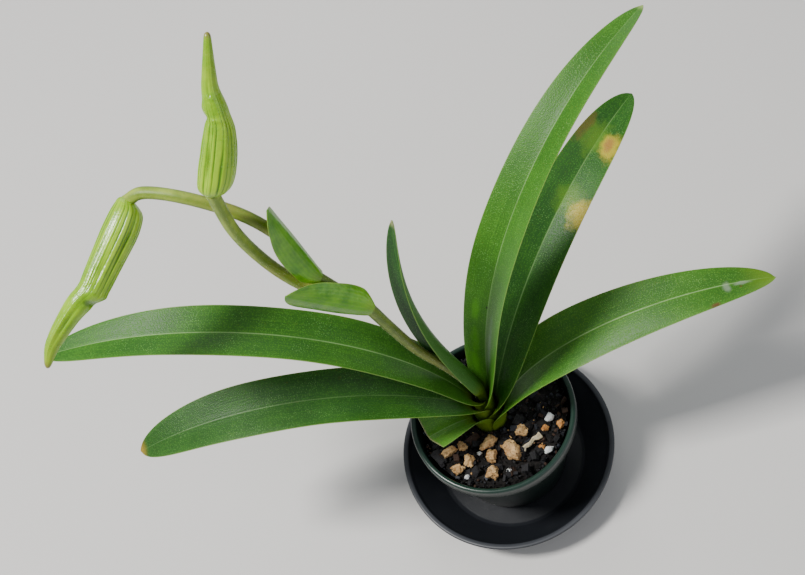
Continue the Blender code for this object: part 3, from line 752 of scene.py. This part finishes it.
STALK_PATH = (
    (-2, 2, 66), (-2.2, 2, 90), (-3, 2.1, 114), (-8.2, 2.6, 141), (-14.7, 4.6, 162), (-22.1, 8.6, 180),
    (-29, 12.6, 209), (-34.5, 16.2, 234), (-41.5, 20.5, 248), (-48.6, 26, 262.6),
)
PEDICEL_1_PATH = (
    (-45, 23.5, 247), (-52, 28, 250), (-58.5, 32.2, 255.4), (-66.8, 39, 274.5), (-71.2, 41.6, 304.5),
    (-69.8, 43.4, 334.6),
)
PEDICEL_2_PATH = (
    (-48.6, 26.0, 262.0), (-51.5, 31.5, 279), (-55.5, 38.6, 292.4), (-65.8, 47.6, 307), (-84, 60, 320),
    (-100.5, 71.5, 323.2), (-110.6, 75.2, 319.2),
)
stalk_surface = stalk_paint("stalk_surface", (0.10, 0.17, 0.012), (0.22, 0.32, 0.035))
pedicel_surface = stalk_paint("pedicel_surface", (0.17, 0.27, 0.018), (0.34, 0.46, 0.055))
hair = down_paint()
STEMS = (
    ("flower_stalk", STALK_PATH, (2.4, 2.4, 2.6, 3.2, 3.0), stalk_surface),
    ("pedicel_lower", PEDICEL_1_PATH, (2.0, 2.9, 3.1, 3.1, 3.2), pedicel_surface),
    ("pedicel_upper", PEDICEL_2_PATH, (2.6, 3.0, 3.1, 3.0, 3.1), pedicel_surface),
)
for node, path, radii, surface in STEMS:
    stem = tube_piece(node + "_skin", path, radii)
    fuzz = down_on(stem, node + "_down", hair)
    ready(stem, surface, "stalk_olive_green", node)
    ready(fuzz, None, "stalk_olive_green")

# %% [markdown]
# ## The buds
# A bud is a ribbed pouch with a long beak. The sepals are folded against each other, and where
# the body ends they step in under a small overhang with wrinkles. The body's outline and the
# way its middle line sways are short lists of numbers; the grooves are a cosine round it.

# %% The shape of a bud
BUD_RIBS = 11


def bud_piece(name, foot, aim, bulge, outline, sway, dents, count=170, sides=176):
    """A bud with its grooves, its overhang and its beak. A dent is (s, angle, its two sizes, height)."""
    foot, aim, bulge = (np.array(v, float) for v in (foot, aim, bulge))
    along = (aim - foot) / np.linalg.norm(aim - foot)
    side = bulge - along * bulge.dot(along)
    side /= np.linalg.norm(side)
    other = np.cross(along, side)
    angles = np.linspace(0, 2 * math.pi, sides, endpoint=False)
    outline_s, outline_r = zip(*outline)
    sway_s, sway_d = zip(*sway)
    uneven = angles + 0.07 * np.sin(3 * angles + 1) + 0.04 * np.sin(7 * angles)
    rings, marks, grooves, hollows = [], [], [], []
    for k in range(count + 1):
        s = k / count
        spread = min(0.034, s / 3, (1 - s) / 2)
        near = np.linspace(s - spread, s + spread, 7)
        radius = np.mean(np.interp(near, outline_s, outline_r))
        shift = np.mean(np.interp(near, sway_s, sway_d))
        strength = min(s / 0.07, 1) * min(max((0.66 - s) / 0.2, 0.22), 1) * min((1 - s) / 0.1, 1)
        line = 2 * BUD_RIBS * uneven + 0.5 * math.sin(9 * s) + 0.3 * np.sin(4 * angles + 7 * s)
        groove = np.maximum(-np.cos(line), 0) ** 3 * (0.75 + 0.25 * np.sin(5 * angles + 11 * s))
        hollow = np.zeros(sides)
        shape = 0.13 * np.cos(BUD_RIBS * uneven + 0.4) - 0.36 * groove
        reach = radius + strength * shape
        for place, angle, long, wide, height in dents:
            gap = (angles - math.radians(angle) + math.pi) % (2 * math.pi) - math.pi
            amount = np.exp(-((s - place) / long) ** 2 - (gap / math.radians(wide)) ** 2)
            reach = reach + height * amount
            hollow += amount * max(-height, 0)
        point = foot + (aim - foot) * s + side * shift
        rings.append(point + np.outer(reach * np.cos(angles), side) + np.outer(reach * np.sin(angles), other))
        marks.append(np.full(sides, s))
        grooves.append(groove * strength)
        hollows.append(np.minimum(hollow, 1))
    stored = {"along": marks, "groove": grooves, "hollow": hollows}
    stored = {key: np.concatenate(values) for key, values in stored.items()}
    return mesh_piece(name + "_skin", np.concatenate(rings), ring_faces(count + 1, sides), stored, 80)


print("grooves round a bud:", 2 * BUD_RIBS)

# %% [markdown]
# A bud is yellow-green and brown at its very tip. Its grooves and its hollows are darkened with
# painted shade, and its rib tops near the foot are paler with a painted highlight. The shape
# already knows where its grooves and hollows are, so it stores them, and the material only reads
# them.

# %% The bud material
def bud_paint():
    paint = Paint("bud_surface", subsurface_weight=0.08, subsurface_scale=0.003, specular_ior_level=0.6)
    along, groove, hollow = paint.stored("along"), paint.stored("groove"), paint.stored("hollow")
    patches = paint.noise(85, 4, 0.6)
    colour = paint.mix(patches.step(0.3, 0.7), (0.19, 0.42, 0.003), (0.34, 0.60, 0.006))
    # Paler rib tops in the lower half: a painted highlight.
    colour = paint.mix(groove.step(0.1, 0.0) * along.step(0.5, 0.2) * 0.3, colour, (0.50, 0.72, 0.04))
    # Darker grooves and darker hollows: painted shade.
    colour = paint.mix(groove.step(0.12, 0.7) * 0.85, colour, (0.07, 0.22, 0.004))
    colour = paint.mix(hollow.step(0.25, 1.0) * 0.75, colour, (0.08, 0.20, 0.006))
    colour = paint.mix(along.step(0.6, 0.9) * 0.5 * patches.step(0.3, 0.6), colour, (0.27, 0.36, 0.03))
    colour = paint.mix(along.step(0.955, 1.0) * 0.8, colour, (0.22, 0.16, 0.05))
    crease = paint.noise(300, 3) * along.step(0.4, 0.5) * along.step(0.75, 0.6)
    height = paint.noise(900, 2) * 0.35 + paint.noise(160, 3) * 0.9 + crease * 1.8
    return paint.finish(base=colour, rough=0.20 + patches * 0.16, normal=paint.relief(height, 0.45, 0.0006))


bud_surface = bud_paint()
BUDS = (
    ("bud_upright", (-70.4, 42.9, 333.4), (-37, 74, 393), (0.9, -0.4, -0.25),
     ((0, 1.6), (0.008, 3.4), (0.02, 5.1), (0.04, 6.7), (0.07, 7.8), (0.12, 8.4), (0.2, 8.6), (0.34, 8),
      (0.44, 6.8), (0.5, 5.6), (0.57, 5.4), (0.68, 3.8), (0.8, 2.9), (0.92, 2.0), (0.97, 1.7),
      (0.99, 1.3), (1, 0.5)),
     ((0, 0), (0.12, 2.1), (0.28, 3.6), (0.46, 4.4), (0.57, 2.6), (0.68, 0.4), (0.8, 0.2), (1, 0)),
     ((0.26, 243, 0.14, 6, -0.9), (0.5, 180, 0.022, 50, -1.0), (0.56, 185, 0.035, 50, 0.7),
      (0.44, 225, 0.03, 30, 0.3), (0.5, 262, 0.012, 30, 0.5), (0.63, 268, 0.012, 25, 0.4),
      (0.68, 262, 0.05, 10, -0.4))),
    ("bud_nodding", (-109.5, 76.5, 320), (-180, 30, 292), (0.6, -0.67, -0.4),
     ((0, 1.6), (0.008, 3.6), (0.02, 5.2), (0.04, 6.8), (0.07, 7.8), (0.11, 8.3), (0.18, 8.7), (0.34, 8),
      (0.46, 7.5), (0.54, 7), (0.6, 6.4), (0.69, 5.2), (0.8, 4.4), (0.9, 3.3), (0.96, 2.3),
      (0.99, 1.5), (1, 0.6)),
     ((0, 0.5), (0.05, 3.4), (0.15, 4), (0.36, 4), (0.53, 4.2), (0.6, 1.2), (0.69, -0.7), (0.8, -1.9),
      (0.9, -2.3), (1, 0)),
     ((0.22, 47, 0.16, 6, -0.8), (0.4, 82, 0.06, 9, -0.5), (0.535, 20, 0.02, 50, 0.9),
      (0.59, 25, 0.02, 45, -1.5),
      (0.75, 98, 0.15, 10, 0.6), (0.72, 70, 0.12, 9, -0.6), (0.53, 76, 0.02, 14, 0.5))),
)
for name, *shape in BUDS:
    bud = bud_piece(name, *shape)
    fuzz = down_on(bud, name + "_down", hair, density=120000.0, length=0.0004, seed=5)
    ready(bud, bud_surface, "bud_yellow_green", name)
    ready(fuzz, None, "bud_yellow_green")

# %% [markdown]
# ## Pot and saucer
# Both are turned shapes: an outline swept round the axis. The coarse solids have few sides, so
# the same outlines are swept with many, and the lip gets a few more points to make it round.

# %% Sweep an outline
def turned_piece(name, outline, sides=192):
    """A solid of revolution about Z, from an outline that starts and ends on the axis."""
    rings = np.array(outline[1:-1], float)
    angles = np.linspace(0, 2 * math.pi, sides, endpoint=False)
    points = [np.stack([r * np.cos(angles), r * np.sin(angles), np.full(sides, z)], 1) for r, z in rings]
    points = np.concatenate([*points, [(0, 0, outline[0][1]), (0, 0, outline[-1][1])]])
    grid = np.arange(len(rings) * sides).reshape(-1, sides)
    turned = np.roll(grid, -1, axis=1)
    faces = quads(grid[:-1], turned[:-1], turned[1:], grid[1:])
    for row, centre in ((0, grid.size), (-1, grid.size + 1)):
        faces += np.stack([grid[row], turned[row], np.full(sides, centre)], -1).tolist()
    return mesh_piece(name, points, faces, smooth_angle=38)


def rounded(outline, size=0.5):
    """The same outline with each corner off the axis cut into three short steps."""
    points = [np.array(p, float) for p in outline]
    out = [tuple(points[0])]
    for before, here, after in zip(points, points[1:], points[2:]):
        a, b = before - here, after - here
        cut = min(size, 0.35 * np.linalg.norm(a), 0.35 * np.linalg.norm(b))
        first, last = here + a / np.linalg.norm(a) * cut, here + b / np.linalg.norm(b) * cut
        out += [tuple(first), tuple((first + last + 2 * here) / 4), tuple(last)]
    return out + [tuple(points[-1])]


print("a rounded square corner:", rounded(((0, 0), (2, 0), (2, 2))))

# %% [markdown]
# The pot is thin dark green plastic, scuffed by handling, with painted light that makes its rim
# lighter. The saucer is black, satin, with dust and faint scratches in its well and a painted
# highlight on its edge. The painted light is read from height, and the scuffs from noise.

# %% The plastics
def plastic_paint(name, dark, painted_light_colour, low, high, dust, rough):
    """Moulded plastic: painted light makes it lighter towards its lip, with scuffs, fine scratches and a
    little dust.
    """
    paint = Paint(name, specular_ior_level=0.5)
    where = paint.place()
    height = paint.add("ShaderNodeSeparateXYZ", {0: where}, out=2)
    scuffs = paint.noise(55, 5, 0.65)
    lines = paint.noise(240, 2, 0.5, paint.place((1, 1, 6)))
    grime = paint.cells(900).step(0.14, 0.04) * paint.noise(40, 2).step(0.45, 0.62)
    # Painted light: lighter from height low to height high, at the rim and the lip.
    colour = paint.mix(height.step(low, high) * (0.6 + 0.4 * scuffs), dark, painted_light_colour)
    colour = paint.mix(scuffs.step(0.5, 0.8) * 0.25, colour, dust)
    colour = paint.mix(grime * 0.35, colour, dust)
    gloss = rough + scuffs * 0.22 - lines * 0.06
    relief = paint.relief(scuffs * 0.5 + lines * 0.5 + paint.noise(1600, 2) * 0.2, 0.18, 0.0004)
    return paint.finish(base=colour, rough=gloss, normal=relief)


pot_surface = plastic_paint(
    "pot_surface", (0.004, 0.012, 0.009), (0.014, 0.042, 0.030), 0.0765, 0.0792, (0.04, 0.06, 0.05), 0.24)
saucer_surface = plastic_paint(
    "saucer_surface", (0.012, 0.014, 0.018), (0.07, 0.076, 0.088), 0.0230, 0.0242, (0.03, 0.034, 0.041), 0.36)
print("plastics:", pot_surface.name, "and", saucer_surface.name)

# %% [markdown]
# The outlines are lists of (radius, height) from the axis below, out and up over the lip, and
# down the inside to the axis again. That makes a wall with a true thickness.

# %% Make the saucer and the pot
SAUCER_RADIUS, SAUCER_HEIGHT, SAUCER_FOOT_RADIUS, SAUCER_FLOOR = 69.0, 24.0, 47.0, 2.2
POT_RIM_RADIUS, POT_TOP, POT_RIM_DEPTH, POT_FOOT_RADIUS, POT_WALL = 51.0, 79.0, 9.0, 35.0, 1.4
POT_SHOULDER_RADIUS, DRAIN_HOLES, DRAIN_RADIUS = 48.2, 5, 4.0
rise = SAUCER_HEIGHT - 3
saucer = turned_piece("saucer_skin", rounded((
    (0, 0), (SAUCER_FOOT_RADIUS, 0), (SAUCER_FOOT_RADIUS + 2, 0.8), (SAUCER_RADIUS - 3, rise),
    (SAUCER_RADIUS - 0.8, rise + 0.8), (SAUCER_RADIUS, rise + 1.8),
    (SAUCER_RADIUS - 0.3, SAUCER_HEIGHT - 0.3),
    (SAUCER_RADIUS - 1.2, SAUCER_HEIGHT), (SAUCER_RADIUS - 3.4, SAUCER_HEIGHT - 0.4),
    (SAUCER_RADIUS - 4.8, rise - 0.2), (SAUCER_FOOT_RADIUS + 1.4, SAUCER_FLOOR + 0.9),
    (SAUCER_FOOT_RADIUS - 1, SAUCER_FLOOR), (0, SAUCER_FLOOR),
)))
ready(saucer, saucer_surface, "saucer_plastic", "saucer")

foot, under_rim, inner = SAUCER_FLOOR + 0.35, POT_TOP - POT_RIM_DEPTH, POT_SHOULDER_RADIUS - POT_WALL
pot = turned_piece("pot_skin", rounded((
    (0, foot + 1), (POT_FOOT_RADIUS - 3, foot + 1), (POT_FOOT_RADIUS - 2, foot), (POT_FOOT_RADIUS, foot),
    (POT_FOOT_RADIUS + 0.6, foot + 1.5), (POT_SHOULDER_RADIUS - 0.4, under_rim - 1),
    (POT_RIM_RADIUS - 0.9, under_rim), (POT_RIM_RADIUS, under_rim + 0.8), (POT_RIM_RADIUS, POT_TOP - 1.4),
    (POT_RIM_RADIUS - 0.5, POT_TOP - 0.4), (POT_RIM_RADIUS - 1.6, POT_TOP),
    (POT_RIM_RADIUS - 2.8, POT_TOP - 0.3), (POT_RIM_RADIUS - 3.4, POT_TOP - 1.2), (inner, under_rim - 1),
    (POT_FOOT_RADIUS + 0.6 - POT_WALL, foot + 1 + POT_WALL), (0, foot + 1 + POT_WALL),
), 0.35))

# %% [markdown]
# A pot drains through holes in its floor. Their number isn't seen from above and follows common
# pots. One Boolean cuts all of them, and its result is kept as a plain mesh.

# %% Drill the pot's floor
turns = np.linspace(0, 2 * math.pi, 32, endpoint=False)
circle = np.stack([DRAIN_RADIUS * np.cos(turns), DRAIN_RADIUS * np.sin(turns), 0 * turns], 1)
drills = bpy.data.collections.new("drills")
bpy.context.scene.collection.children.link(drills)
for i in range(DRAIN_HOLES):
    angle = 2 * math.pi * i / DRAIN_HOLES
    ring = circle + np.array((math.cos(angle), math.sin(angle), 0)) * POT_FOOT_RADIUS * 0.66
    ends = np.vstack([ring + (0, 0, foot - 1), ring + (0, 0, foot + 4)])
    drill = mesh_piece("drill", ends, ring_faces(2, len(turns)))
    bpy.context.scene.collection.objects.unlink(drill)
    drills.objects.link(drill)
bore = pot.modifiers.new("bore", "BOOLEAN")
bore.operation, bore.operand_type, bore.collection, bore.solver = "DIFFERENCE", "COLLECTION", drills, "EXACT"
pot.data = final_mesh(pot)
for drill in list(drills.objects):
    bpy.data.objects.remove(drill, do_unlink=True)
bpy.data.collections.remove(drills)
ready(pot, pot_surface, "pot_plastic", "pot")

# %% [markdown]
# ## The potting mix
# Charcoal and bark lie in the pot as angular lumps with crumbs between them. The imported solid
# stays as the body of the mix. Charcoal is near black with a blue glint on its broken faces, a
# painted reflection, and bark is browner. Each lump carries one random number, its tone, which
# picks between them. The stones are tan or orange and full of small pits, and perlite is nearly
# white.

# %% The mix materials
def bark_paint():
    paint = Paint("bark_surface", specular_ior_level=0.45)
    tone = paint.stored("tone")
    grain = paint.noise(420, 4, 0.65, paint.place((1, 1, 2.5)))
    patches = paint.noise(70, 3)
    dark = (grain * 0.6 + tone * 0.5).step(0.3, 0.9)
    colour = paint.mix(dark, (0.003, 0.003, 0.0035), (0.020, 0.019, 0.022))
    colour = paint.mix(tone.step(0.88, 0.9) * 0.8, colour, (0.050, 0.022, 0.010))
    # Painted reflection: a blue-grey glint on the charcoal's faces.
    painted_glint = tone.step(0.6, 0.5) * patches.step(0.4, 0.7) * 0.6
    colour = paint.mix(painted_glint, colour, (0.045, 0.055, 0.080))
    gloss = tone.step(0.0, 0.5, 0.30, 0.75) + grain * 0.15
    height = grain + paint.noise(1300, 3) * 0.6
    return paint.finish(base=colour, rough=gloss, normal=paint.relief(height, 0.9, 0.0009))


def stone_paint(name, deep, bright, painted_light_colour, pits=1.0):
    """Porous stone: a mottled colour, pits darkened with painted shade and a painted highlight on what stands
    up.
    """
    paint = Paint(name, subsurface_weight=0.03, subsurface_scale=0.002)
    patches, grain = paint.noise(170, 4, 0.62), paint.noise(900, 3, 0.6)
    pits_and_painted_shade = paint.cells(420).step(0.36, 0.12) * patches.step(0.35, 0.55)
    colour = paint.mix(patches.step(0.3, 0.68), deep, bright)
    # Painted highlight: paler where the fine grain stands up.
    colour = paint.mix(grain.step(0.5, 0.75) * 0.5, colour, painted_light_colour)
    # Painted shade: darker in the pits.
    colour = paint.mix(pits_and_painted_shade * (0.8 * pits), colour, tuple(0.4 * c for c in deep))
    height = grain * 0.8 + patches * 1.2 + pits_and_painted_shade * (-1.2 * pits)
    return paint.finish(base=colour, rough=0.72 + grain * 0.2, normal=paint.relief(height, 0.7, 0.0007))


bark_surface = bark_paint()
tan_surface = stone_paint(
    "tan_stone_surface", (0.30, 0.15, 0.045), (0.64, 0.41, 0.18), (0.84, 0.68, 0.42))
orange_surface = stone_paint(
    "orange_stone_surface", (0.40, 0.15, 0.03), (0.66, 0.33, 0.09), (0.78, 0.55, 0.3))
white_surface = stone_paint(
    "perlite_surface", (0.62, 0.64, 0.62), (0.84, 0.86, 0.84), (0.92, 0.93, 0.92), 0.3)
print("mix materials:", [m.name for m in (bark_surface, tan_surface, orange_surface, white_surface)])

# %% [markdown]
# Loose lumps repeat by the hundred, so a Geometry Nodes tree scatters one simple block or ball
# over a disc at the top of the mix. Each copy is turned and stretched at random, and then noise
# pushes all the points about, so that no two are alike. Points that would land in the stem, or
# on a white grain, are deleted first.

# %% Scatter lumps over a disc
def lumps(name, radius, height, density, small, large, detail, rough, seed, clear, material, bare=()):
    """Angular lumps on a disc, none within clear of the stem's middle or on a bare (centre, reach)."""
    outline = ((0, height), (radius, height), (radius, height - 0.2), (0, height - 0.2))
    disc = turned_piece("disc", outline, 48)
    tree = Tree("lumps", Density=density, Small=small, Large=large, Rough=rough, Seed=seed)

    def maths(operation, a, b):
        return tree.add("ShaderNodeMath", {0: a, 1: b}, operation=operation)

    def chance(low, high, kind="FLOAT_VECTOR"):
        inputs = {"Min": low, "Max": high, "Seed": tree.given("Seed")}
        return tree.add("FunctionNodeRandomValue", inputs, data_type=kind)

    def scaled(vector, by):
        return tree.add("ShaderNodeVectorMath", {0: vector, "Scale": by}, operation="SCALE")

    up = tree.add("ShaderNodeVectorMath", {
        0: tree.add("GeometryNodeInputNormal"), 1: (0, 0, 1)}, operation="DOT_PRODUCT")
    position, room = tree.add("GeometryNodeInputPosition"), 1.0
    for centre, reach in (((STEM_X * MM, STEM_Y * MM, height * MM), clear), *bare):
        gap = tree.add("ShaderNodeVectorMath", {0: position, 1: centre}, operation="DISTANCE")
        room = maths("MINIMUM", maths("SUBTRACT", gap, reach), room)
    spots = tree.add("GeometryNodeDistributePointsOnFaces", {
        "Mesh": tree.given(), "Density": tree.given("Density"), "Selection": maths("GREATER_THAN", up, 0.5),
        "Seed": tree.given("Seed")})
    kept = tree.add("GeometryNodeDeleteGeometry", {
        "Geometry": spots, "Selection": maths("LESS_THAN", room, 0.0)})
    size = chance(tree.given("Small"), tree.given("Large"), "FLOAT")
    scale = scaled(chance((0.75, 0.45, 0.35), (1.25, 0.85, 0.6)), size)
    if detail:
        lump = tree.add("GeometryNodeMeshIcoSphere", {"Radius": 1.0, "Subdivisions": detail})
    else:
        lump = tree.add("GeometryNodeMeshCube", {
            "Size": (1.5, 1.5, 1.5), "Vertices X": 3, "Vertices Y": 3, "Vertices Z": 3})
    copies = tree.add("GeometryNodeInstanceOnPoints", {
        "Points": kept, "Instance": lump, "Rotation": chance((0, 0, 0), (6.28, 6.28, 6.28)), "Scale": scale})
    toned = tree.add("GeometryNodeStoreNamedAttribute", {
        "Geometry": copies, "Name": "tone", "Value": chance(0.0, 1.0, "FLOAT")},
        data_type="FLOAT", domain="INSTANCE")
    real = tree.add("GeometryNodeRealizeInstances", {"Geometry": toned})
    wild = tree.add("ShaderNodeTexNoise", {"Scale": 190.0, "Detail": 2.0}, out=1)
    centred = tree.add("ShaderNodeVectorMath", {0: wild, 1: (0.5, 0.5, 0.5)}, operation="SUBTRACT")
    moved = tree.add("GeometryNodeSetPosition", {
        "Geometry": real, "Offset": scaled(centred, tree.given("Rough"))})
    made = tree.run(disc, tree.add("GeometryNodeSetMaterial", {"Geometry": moved, "Material": material}))
    bpy.data.objects.remove(disc, do_unlink=True)
    made.name = name
    made.data.shade_flat()
    return made

# %% [markdown]
# Four scatters dress the mix: large blocks, lumps, crumbs, and a few pale crumbs of stone. The
# crumbs are many and tiny, so each of them is a ball of only twenty faces.

# %% The lumps of the mix
MIX_TOP = 70.0
GRAIN_ROOM = 0.0048
grains = [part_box(node) for node in frame["nodes"] if node.startswith("perlite_")]
bare = [(tuple((a + b) / 2 for a, b in zip(low, high)), GRAIN_ROOM) for low, high in grains]
CRUMBS = (
    ("bark_blocks", 42.0, MIX_TOP + 1.6, 8000.0, 0.0028, 0.0058, 0, 0.0035, 4, 0.0135, bark_surface, bare),
    ("bark_lumps", 44.0, MIX_TOP + 1.0, 26000.0, 0.0016, 0.0032, 0, 0.0025, 6, 0.0125, bark_surface),
    ("bark_crumbs", 46.0, MIX_TOP + 1.0, 110000.0, 0.0006, 0.0015, 1, 0.002, 9, 0.0105, bark_surface),
    ("pale_crumbs", 44.0, MIX_TOP + 2.6, 5000.0, 0.0004, 0.0012, 1, 0.001, 12, 0.013, tan_surface),
)
for row in CRUMBS:
    ready(lumps(*row), None, "tan_stone" if row[0] == "pale_crumbs" else "potting_bark")

# %% [markdown]
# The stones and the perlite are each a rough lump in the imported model. A finer copy of each one
# is made from the node's own mesh: split and rounded, cut by a few random flats as broken stone
# is, then given dents by noise. It stays where its coarse stone was.

# %% Refine a stone
STONE_FLATS = 10


def refined(node, seed, rough, swell=1.34):
    """A rounded, dented copy of a coarse stone, as points and faces in millimetres."""
    shape = bmesh.new()
    shape.from_mesh(frame["nodes"][node].data)
    bmesh.ops.remove_doubles(shape, verts=shape.verts, dist=1e-6)
    holder = bpy.data.meshes.new("holder")
    shape.to_mesh(holder)
    shape.free()
    piece = placed("holder", holder)
    step = piece.modifiers.new("round", "SUBSURF")
    step.levels = step.render_levels = 3
    mesh = final_mesh(piece)
    points = np.array([v.co for v in mesh.vertices]) / MM
    faces = [tuple(face.vertices) for face in mesh.polygons]
    bpy.data.objects.remove(piece, do_unlink=True)
    low, high = (np.array(corner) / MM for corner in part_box(node))
    centre, half = (low + high) / 2, (high - low) / 2
    chooser, flats = random.Random(round(seed * 10)), []
    for _ in range(STONE_FLATS):
        way = Vector([chooser.uniform(-1, 1) for _ in range(3)]).normalized()
        flats.append((way, chooser.uniform(0.5, 0.8)))
    for i, p in enumerate(points):
        out = Vector((p - centre) / half)
        for way, reach in flats:
            out -= way * max(out.dot(way) - reach, 0) * 0.85
        spot = out * 1.4 + Vector((seed, 0, 0))
        dent = noise.fractal(spot, 0.9, 2.1, 5) - 0.8 * max(noise.noise(spot * 1.9) - 0.15, 0)
        points[i] = centre + np.array(out) * half * swell * (1 + rough * dent)
    return points, faces


def stones_piece(name, nodes, material, slot, rough):
    """One piece of all the refined stones of a kind."""
    points, faces = [], []
    for i, node in enumerate(nodes):
        found, found_faces = refined(node, 3.7 * i, rough)
        start = sum(len(p) for p in points)
        points.append(found)
        faces += [tuple(v + start for v in face) for face in found_faces]
    return ready(mesh_piece(name, np.concatenate(points), faces, smooth_angle=60), material, slot, *nodes)


ORANGE = ("stone_10", "stone_11", "stone_12")
tan_nodes = sorted(n for n in frame["nodes"] if n.startswith("stone_") and n not in ORANGE)
stones_piece("tan_stones", tan_nodes, tan_surface, "tan_stone", 0.45)
stones_piece("orange_stones", ORANGE, orange_surface, "tan_stone", 0.45)
grain_nodes = sorted(n for n in frame["nodes"] if n.startswith("perlite_"))
stones_piece("perlite_grains", grain_nodes, white_surface, "white_perlite", 0.2)

# %% [markdown]
# A dead root lies on the mix like a small pale bone, thicker at its ends. The body of the mix
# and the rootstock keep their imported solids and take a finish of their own.

# %% The dead root and the solids that stay
ROOT_PATH = (
    (6.2, -28.4, 74.4), (8.5, -27.6, 74.9), (11.5, -27.4, 74.8), (15, -25.6, 74.7), (17.5, -25.9, 74.6),
    (20, -25.2, 74.3),
)
root_surface = stone_paint("root_surface", (0.42, 0.34, 0.2), (0.66, 0.58, 0.40), (0.8, 0.74, 0.58), 0.5)
root = tube_piece("dead_root_skin", ROOT_PATH, (1.9, 1.1, 1.3, 1.0, 1.2, 1.6, 2.1), 90, 24, 3, 0.2, rounded=4)
ready(root, root_surface, "pale_root", "dead_root")


def plain_mix_paint():
    paint = Paint("mix_body_surface", specular_ior_level=0.3)
    grain, crumbs = paint.noise(500, 4, 0.7), paint.cells(420)
    tone = (grain * 0.7 + crumbs * 0.4).step(0.3, 0.8)
    colour = paint.mix(tone, (0.003, 0.003, 0.003), (0.016, 0.013, 0.012))
    relief = paint.relief(crumbs + grain, 1.0, 0.0012)
    return paint.finish(base=colour, rough=0.8 + grain * 0.15, normal=relief)


def crown_paint():
    paint = Paint("crown_surface")
    grain = paint.noise(160, 3, 0.6, paint.place((1, 1, 0.3)))
    return paint.finish(base=paint.mix(grain, (0.16, 0.2, 0.03), (0.34, 0.38, 0.09)), rough=0.4 + grain * 0.2)


for node, finish in (("potting_mix", plain_mix_paint()), ("rootstock", crown_paint())):
    data = frame["nodes"][node].data
    for i in range(len(data.materials)):
        data.materials[i] = finish
    print(node, "keeps its solid with", finish.name)

# %% [markdown]
# ## Floor, camera and lights
# The floor is one plain pale face, wide enough to fill the picture from low angles too.

# %% The floor
FLOOR_HALF = 12.0
floor_mesh = bpy.data.meshes.new("floor")
corners = [(x * FLOOR_HALF, y * FLOOR_HALF, 0) for x, y in ((-1, -1), (1, -1), (1, 1), (-1, 1))]
floor_mesh.from_pydata(corners, [], [(0, 1, 2, 3)])
floor = placed("floor", floor_mesh)
floor_paint = Paint("floor_surface", roughness=0.85)
floor_mesh.materials.append(floor_paint.finish(
    base=floor_paint.mix(floor_paint.noise(2.0, 2), (0.70, 0.69, 0.67), (0.74, 0.73, 0.71))))
print("floor", 2 * FLOOR_HALF, "m wide")

# %% [markdown]
# The camera stands where the photograph was taken from, worked out from the round rims of pot
# and saucer: it looks down at 59 degrees and is rolled by 27 degrees. Its three directions are
# built one after the other and then put in a matrix.

# %% The camera
ELEVATION, ROLL = math.radians(58.85), math.radians(-27.33)
forward = Vector((0, math.cos(ELEVATION), -math.sin(ELEVATION)))
level = Vector((1, 0, 0))
upright = level.cross(forward)
right = level * math.cos(ROLL) + upright * math.sin(ROLL)
above = upright * math.cos(ROLL) - level * math.sin(ROLL)
lens = bpy.data.cameras.new("camera")
lens.lens, lens.sensor_width, lens.sensor_fit = 55.0, 36.0, "HORIZONTAL"
lens.clip_start, lens.clip_end = 0.01, 60.0
camera = placed("camera", lens)
camera.matrix_world = Matrix.Translation(Vector((-13.3, -307.7, 766.9)) * MM) @ Matrix((
    (right.x, above.x, -forward.x), (right.y, above.y, -forward.y), (right.z, above.z, -forward.z),
)).to_4x4()
bpy.context.scene.camera = camera
print("camera", round(camera.matrix_world.translation.length, 3), "m from the foot of the pot")

# %% [markdown]
# The light is soft. The main lamp stands above the upper left of the picture, as in the
# photograph, so that the upper leaf throws its shadow on the lower one. Two large weak lamps
# and a pale world fill the shadows.

# %% The lights
def area_light(name, place, target, size, power, colour=(1, 1, 1)):
    """A square soft light that faces a target, all in metres."""
    lamp = bpy.data.lights.new(name, "AREA")
    lamp.size, lamp.energy, lamp.color = size, power, colour
    made = placed(name, lamp)
    made.location = place
    made.rotation_euler = (Vector(target) - Vector(place)).to_track_quat("-Z", "Y").to_euler()
    print(name, "lamp:", power, "W,", size, "m wide")


middle = (0.0, 0.0, 0.18)
area_light("key", (-0.80, 0.20, 1.62), middle, 0.32, 38, (1.0, 0.98, 0.95))
area_light("fill", (0.9, -1.1, 0.9), middle, 1.2, 6, (0.95, 0.97, 1.0))
area_light("back", (0.4, 1.4, 0.8), middle, 1.0, 5)
world = bpy.data.worlds.new("world")
world.use_nodes = True
world.node_tree.nodes["Background"].inputs["Color"].default_value = (0.9, 0.93, 1.0, 1)
world.node_tree.nodes["Background"].inputs["Strength"].default_value = 0.30
bpy.context.scene.world = world
